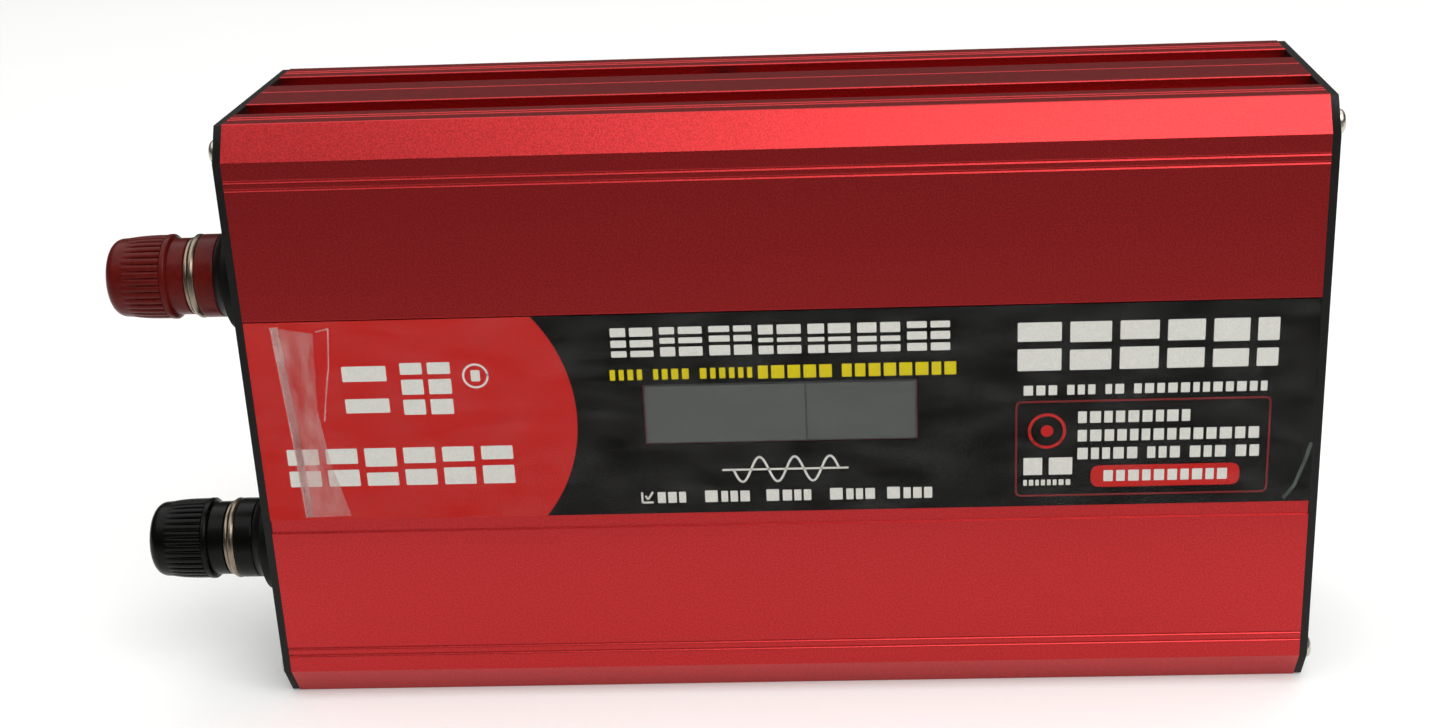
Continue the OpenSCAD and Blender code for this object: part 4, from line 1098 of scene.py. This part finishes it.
def post_rings(post):
    """The flange with its flared foot, the collar and the contact ring."""
    sizes = looks("terminal")
    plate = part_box("battery_end_plate")[0].x
    _, end, wide = post.box("post_flange")
    _, collar_end, collar = post.box("post_collar")
    rim, foot = plate - sizes.rim, wide - 0.5 * MM
    flare = [(rim + (end - rim) * t, foot - (foot - collar) * math.sin(t * math.pi / 2) ** 0.8)
             for t in (0.2, 0.4, 0.6, 0.8, 1.0)]
    post.turned("post_flange", [(plate, wide), (rim, wide), (rim, wide - 0.4 * MM)] + flare, 0.35 * MM)
    post.turned("post_collar", [(end, collar), (collar_end, collar)], 0.5 * MM)
    _, ring_end, ring = post.box("contact_ring")
    step = (ring_end - collar_end) / 3
    groove = [(collar_end, ring - 0.3 * MM), (collar_end + step, ring), (collar_end + 2 * step, ring),
              (ring_end, ring - 0.4 * MM)]
    post.turned("contact_ring", groove, 0.3 * MM)


def washer(post):
    start, end, wide = post.box("clamp_washer")
    post.turned("clamp_washer", [(start, wide), (end, wide)], 0.25 * MM)


def stud(post):
    """The threaded stud: a helical thread with a chamfered tip."""
    node = post.colour + "_post_stud"
    low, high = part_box(node)
    crest, pitch, turns, steps = (high.y - low.y) / 2, looks("terminal").pitch, 24, 5
    root = crest - 0.55 * pitch
    count = round((high.x - low.x) / pitch * steps)
    bm = bmesh.new()
    rings = []
    for k in range(count + 1):
        x = low.x + (high.x - low.x) * k / count
        tip = min(1.0, (x - low.x + 0.2 * pitch) / pitch, (high.x - x + 0.2 * pitch) / pitch)
        ring = []
        for i in range(turns):
            wave = abs(((k / steps + i / turns) % 1) * 2 - 1)
            radius = (root + (crest - root) * wave * tip) * (0.85 + 0.15 * tip)
            ring.append(bm.verts.new(about_x(x, radius, 2 * math.pi * i / turns, post.centre)))
        rings.append(ring)
    for first, second in zip(rings, rings[1:]):
        for i in range(turns):
            bm.faces.new((first[i - 1], first[i], second[i], second[i - 1]))
    bm.faces.new(rings[0])
    bm.faces.new(rings[-1])
    return settle(smooth(object_from(node + "_body", bm, finish_for(SLOTS[node])), 50), node)


def knob_rib(start, end, foot, top, tip_top, width):
    """One rib, at the top of the grip: half-round across, sinking into the grip's rounded end."""
    stations, across, flatness = 10, 10, 0.45
    arc = [math.pi * i / across for i in range(across + 1)]
    bm = bmesh.new()
    rings = []
    for k in range(stations + 1):
        t = k / stations
        x = start + (end - start) * t
        rise = top + (tip_top - top) * t ** 3 - foot
        outline = [(x, width / 2 * math.cos(a), foot + rise * math.sin(a) ** flatness) for a in arc]
        rings.append([bm.verts.new(p) for p in outline])
    for first, second in zip(rings, rings[1:]):
        for i in range(len(first)):
            bm.faces.new((first[i - 1], first[i], second[i], second[i - 1]))
    bm.faces.new(rings[0])
    bm.faces.new(rings[-1])
    return smooth(object_from("rib", bm, finish_for("knob_red")), 60)


def knob(post):
    """The moulded knob: a smooth neck, a raised ring and a ribbed grip with a rounded, closed end."""
    sizes = looks("terminal")
    node = post.colour + "_knob"
    start, end, wide = post.box("knob")
    neck_end, skirt_end = start - sizes.neck, start - sizes.neck - sizes.skirt
    neck, grip, tip, edge = wide - 1.0 * MM, wide - 0.7 * MM, wide - 0.8 * MM, sizes.knob_edge
    cap = end + sizes.cap
    section = [(cap, 0), (cap, post.bore), (start, post.bore)]
    section += [(start, neck - 0.4 * MM), (start - 0.4 * MM, neck)]
    section += [(neck_end + 0.3 * MM, neck), (neck_end, wide - 0.25 * MM), (neck_end - 0.35 * MM, wide),
                (skirt_end + 0.35 * MM, wide), (skirt_end, wide - 0.3 * MM), (skirt_end - 0.1 * MM, grip),
                (end + edge + 1.5 * MM, grip)]
    section += corner_arc((end + edge, tip - edge), edge, 95, 178, 7)
    section += [(end + 0.01 * MM, 0.55 * (tip - edge)), (end, 0)]
    bm = bmesh.new()
    lathe(bm, section, post.centre, 96)
    finish = finish_for(SLOTS[node])
    core = smooth(object_from("knob_core", bm, finish), 40)
    rib = knob_rib(skirt_end + 0.05 * MM, end + 0.75 * edge, grip - 0.5 * MM, wide - 0.15 * MM,
                   tip - 0.35 * MM, sizes.rib_width)
    centre = Vector((0, *post.centre))
    return settle(ring_of(node + "_body", rib, sizes.ribs, centre, core, finish), node)


class INVERTER_OT_posts(bpy.types.Operator):
    """Make the battery posts' flanges, collars, contact rings, washers and threaded studs"""

    bl_idname = "inverter.posts"
    bl_label = "Battery posts"

    def execute(self, context):
        for colour in POSTS:
            post = Post(colour)
            post_rings(post)
            washer(post)
            stud(post)
        return {"FINISHED"}


class INVERTER_OT_knobs(bpy.types.Operator):
    """Make the two ribbed knobs"""

    bl_idname = "inverter.knobs"
    bl_label = "Knobs"

    def execute(self, context):
        for colour in POSTS:
            knob(Post(colour))
        return {"FINISHED"}


# ---------------------------------------------------------------- fan


def fan_blade(box_low, box_high, hub, tip):
    """One blade, at the top of the hub: thin, curved and less steep towards its tip."""
    rows, columns = 8, 6
    middle, half = (box_low.x + box_high.x) / 2, 0.94 * (box_high.x - box_low.x) / 2
    root, thick, bowing = hub - 0.6 * MM, 0.5 * MM, 1.1 * MM
    steep, flatter, lean = math.radians(52), math.radians(12), 0.22
    bm = bmesh.new()
    faces = []
    for side in (-1, 1):
        grid = []
        for i in range(rows + 1):
            t = i / rows
            radius = root + (tip - root) * t
            pitch = steep - flatter * t
            line = []
            for j in range(columns + 1):
                u = 2 * j / columns - 1
                skin = side * thick * (1 - 0.7 * u * u)
                shift = u * half / math.tan(pitch) + bowing * (1 - u * u) + skin * math.sin(pitch)
                angle = shift / radius + lean * t
                x = middle + u * half * (1 - 0.12 * t) - skin * math.cos(pitch)
                line.append(bm.verts.new((x, radius * math.sin(angle), radius * math.cos(angle))))
            grid.append(line)
        faces.append(grid)
    under, over = faces
    for grid in faces:
        for i in range(rows):
            for j in range(columns):
                bm.faces.new((grid[i][j], grid[i][j + 1], grid[i + 1][j + 1], grid[i + 1][j]))
    rim = [(0, j) for j in range(columns)] + [(i, columns) for i in range(rows)]
    rim += [(rows, j) for j in range(columns, 0, -1)] + [(i, 0) for i in range(rows, 0, -1)]
    for (i0, j0), (i1, j1) in zip(rim, rim[1:] + rim[:1]):
        bm.faces.new((under[i0][j0], under[i1][j1], over[i1][j1], over[i0][j0]))
    return smooth(object_from("blade", bm, finish_for("fan_plastic")), 50)


class INVERTER_OT_fan(bpy.types.Operator):
    """Make the fan's frame and its impeller"""

    bl_idname = "inverter.fan"
    bl_label = "Cooling fan"

    def execute(self, context):
        sizes = looks("ends")
        eased("fan_frame", sizes.moulded_edge)
        low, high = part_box("fan_impeller")
        centre = ((low.y + high.y) / 2, (low.z + high.z) / 2)
        hub, tip = sizes.hub, (high.y - low.y) / 2
        bm = bmesh.new()
        round_edge, back_edge, floor = 1.2 * MM, 0.3 * MM, 2 * MM
        section = [(low.x, 0)] + corner_arc((low.x + round_edge, hub - round_edge), round_edge, 180, 90)
        section += [(high.x - back_edge, hub), (high.x, hub - back_edge), (high.x, sizes.shaft)]
        section += [(low.x + floor, sizes.shaft), (low.x + floor, 0)]
        lathe(bm, section, centre, 64)
        finish = finish_for("fan_plastic")
        core = smooth(object_from("hub", bm, finish), 40)
        blade = fan_blade(low, high, hub, tip)
        piece = ring_of("impeller_body", blade, sizes.blades, Vector((0, *centre)), core, finish)
        settle(piece, "fan_impeller")
        return {"FINISHED"}


# ---------------------------------------------------------------- mains end


def domed_light(node):
    """An indicator light's lens, domed at its outer end."""
    low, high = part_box(node)
    radius, rise = (high.y - low.y) / 2, 0.9 * MM
    section = [(low.x, 0), (low.x, radius), (high.x - rise, radius)]
    section += [(high.x - rise + rise * math.sin(a), radius * math.cos(a)) for a in
                [math.radians(15 * k) for k in range(1, 6)]]
    section.append((high.x, 0))
    bm = bmesh.new()
    lathe(bm, section, ((low.y + high.y) / 2, (low.z + high.z) / 2), 40)
    return settle(smooth(object_from(node + "_body", bm, finish_for(SLOTS[node])), 40), node)


class INVERTER_OT_outlets(bpy.types.Operator):
    """Make the mains socket, the switch, the charging socket and the lights"""

    bl_idname = "inverter.outlets"
    bl_label = "Mains end"

    def execute(self, context):
        edge = looks("ends").moulded_edge
        eased("mains_socket", edge)
        eased("switch_frame", edge)
        eased("switch_rocker", edge)
        eased("usb_socket", 0.15 * MM)
        for node in ("power_light", "fault_light"):
            domed_light(node)
        return {"FINISHED"}


class INVERTER_OT_inside(bpy.types.Operator):
    """Give the parts inside the case their finishes"""

    bl_idname = "inverter.inside"
    bl_label = "Inside"

    def execute(self, context):
        for name, node in NODES.items():
            if not node.hide_render:
                node.data.materials.clear()
                node.data.materials.append(finish_for(SLOTS[name]))
        return {"FINISHED"}


# ---------------------------------------------------------------- stage


def area_light(name, place, target, size, energy):
    light = bpy.data.lights.new(name, "AREA")
    light.shape = "RECTANGLE"
    light.size, light.size_y = size
    light.energy = energy
    lamp = bpy.data.objects.new(name, light)
    lamp.location = place
    lamp.rotation_euler = (Vector(target) - Vector(place)).to_track_quat("-Z", "Y").to_euler()
    bpy.context.scene.collection.objects.link(lamp)


def plane(name, x0, x1, y0, y1, z, material):
    mesh = bpy.data.meshes.new(name)
    mesh.from_pydata([(x0, y0, z), (x1, y0, z), (x1, y1, z), (x0, y1, z)], [], [(0, 1, 2, 3)])
    sheet = new_object(name, mesh, material)
    return sheet


def floor_paint():
    """Matt white studio floor, barely uneven, and lit from within more where the lamps don't reach."""
    material, tree = start_material("studio_floor")
    pale, glow = looks("stage").floor, looks("stage").glow
    soft = grain(tree, 300 * MM)
    away = add_node(tree, "ShaderNodeVectorMath", {0: place_of(tree)}, operation="LENGTH").outputs["Value"]
    end_material(tree, {
        "Base Color": tint(tree, soft, shade(pale, 0.985), pale), "Roughness": 0.85,
        "Emission Color": (1, 1, 1, 1), "Emission Strength": spread(tree, away, glow, 0.75, 1.6, 4.5)})
    return material


def grey_paper():
    """A grey card laid in front of the object only for its face to mirror: painted shade standing in for the
    unlit floor there, darker further away.
    """
    material, tree = start_material("grey_paper")
    away = add_node(tree, "ShaderNodeSeparateXYZ", {"Vector": place_of(tree)}).outputs["Y"]
    # Painted shade: the card darkens further from the object, where the floor gets less light.
    grey = tint(tree, spread(tree, away, 0, 1, -0.75, -0.25), linear("#4C4C4C"), linear("#A6A6A6"), 0, 1)
    end_material(tree, {"Base Color": grey, "Roughness": 1.0})
    return material


def world_light():
    """A soft white studio all round, darker towards the ground, with a plain pale backdrop."""
    world = bpy.data.worlds.new("studio")
    world.use_nodes = True
    tree = world.node_tree
    tree.nodes.clear()
    direction = add_node(tree, "ShaderNodeTexCoord").outputs["Generated"]
    height = add_node(tree, "ShaderNodeSeparateXYZ", {"Vector": direction}).outputs["Z"]
    sky = tint(tree, height, (0.16, 0.15, 0.14), (1, 1, 1), 0.2, 0.75)
    glow = add_node(tree, "ShaderNodeBackground", {"Color": sky, "Strength": looks("stage").ambient})
    backdrop = add_node(tree, "ShaderNodeBackground", {"Color": (*looks("stage").floor, 1)})
    seen = add_node(tree, "ShaderNodeLightPath").outputs["Is Camera Ray"]
    both = add_node(tree, "ShaderNodeMixShader", {0: seen, 1: glow.outputs[0], 2: backdrop.outputs[0]})
    add_node(tree, "ShaderNodeOutputWorld", {"Surface": both.outputs[0]})
    bpy.context.scene.world = world


class INVERTER_OT_stage(bpy.types.Operator):
    """Set up the camera, the pale floor and the soft lights"""

    bl_idname = "inverter.stage"
    bl_label = "Camera and stage"

    def execute(self, context):
        view = looks("stage")
        lens = bpy.data.cameras.new("camera")
        lens.lens, lens.sensor_width = view.lens, 36.0
        lens.shift_x, lens.shift_y = view.shift
        lens.clip_start, lens.clip_end = 0.01, 100
        camera = bpy.data.objects.new("camera", lens)
        turn = (Matrix.Rotation(view.yaw, 3, "Z") @ Matrix.Rotation(view.pitch, 3, "X")
                @ Matrix.Rotation(view.roll, 3, "Y") @ Matrix.Rotation(math.radians(90), 3, "X"))
        camera.matrix_world = Matrix.Translation(Vector(view.place)) @ turn.to_4x4()
        context.scene.collection.objects.link(camera)
        context.scene.camera = camera
        context.scene.view_settings.view_transform = "Standard"
        world_light()
        ground = CAD_BOUNDS[0].z
        plane("floor", -6, 6, -6, 6, ground - 0.05 * MM, floor_paint())
        # A card of painted shade for the face to mirror, standing in for the unlit floor in front; camera,
        # shadow and diffuse rays don't see it.
        card = plane("grey_paper", -0.9, 0.9, -1.6, -0.16, ground + 1 * MM, grey_paper())
        card.visible_camera = False
        card.visible_shadow = False
        card.visible_diffuse = False
        area_light("key", (0.45, -0.8, 0.95), (0, 0, 0.1), (1.2, 0.6), view.key)
        area_light("overhead", (0, 0.4, 2.2), (0, 0.4, 0), (4, 4), view.overhead)
        return {"FINISHED"}


# ---------------------------------------------------------------- panel and registration

STEPS = (INVERTER_OT_stage, INVERTER_OT_shells, INVERTER_OT_end_plates, INVERTER_OT_screws, INVERTER_OT_label,
         INVERTER_OT_film, INVERTER_OT_display, INVERTER_OT_posts, INVERTER_OT_knobs, INVERTER_OT_fan,
         INVERTER_OT_outlets, INVERTER_OT_inside)
GROUPS = {"case": CaseLooks, "label": LabelLooks, "terminal": TerminalLooks, "ends": EndLooks,
          "stage": StageLooks}


class INVERTER_PT_pieces(bpy.types.Panel):
    """The inverter's sizes, colours and making steps"""

    bl_idname = "INVERTER_PT_pieces"
    bl_label = "Power inverter"
    bl_space_type = "VIEW_3D"
    bl_region_type = "UI"
    bl_category = "Inverter"

    def draw(self, context):
        for group, kind in GROUPS.items():
            box = self.layout.box()
            box.label(text=group.capitalize())
            for name in kind.__annotations__:
                box.prop(looks(group), name)
        for step in STEPS:
            self.layout.operator(step.bl_idname)


def register():
    for kind in (*GROUPS.values(), *STEPS, INVERTER_PT_pieces):
        bpy.utils.register_class(kind)
    for group, kind in GROUPS.items():
        setattr(bpy.types.Scene, "inverter_" + group, PointerProperty(type=kind))


def unregister():
    for group in GROUPS:
        delattr(bpy.types.Scene, "inverter_" + group)
    for kind in (INVERTER_PT_pieces, *STEPS, *GROUPS.values()):
        bpy.utils.unregister_class(kind)


def main():
    register()
    for step in STEPS:
        group, name = step.bl_idname.split(".")
        getattr(getattr(bpy.ops, group), name)()


if __name__ == "__main__":
    main()
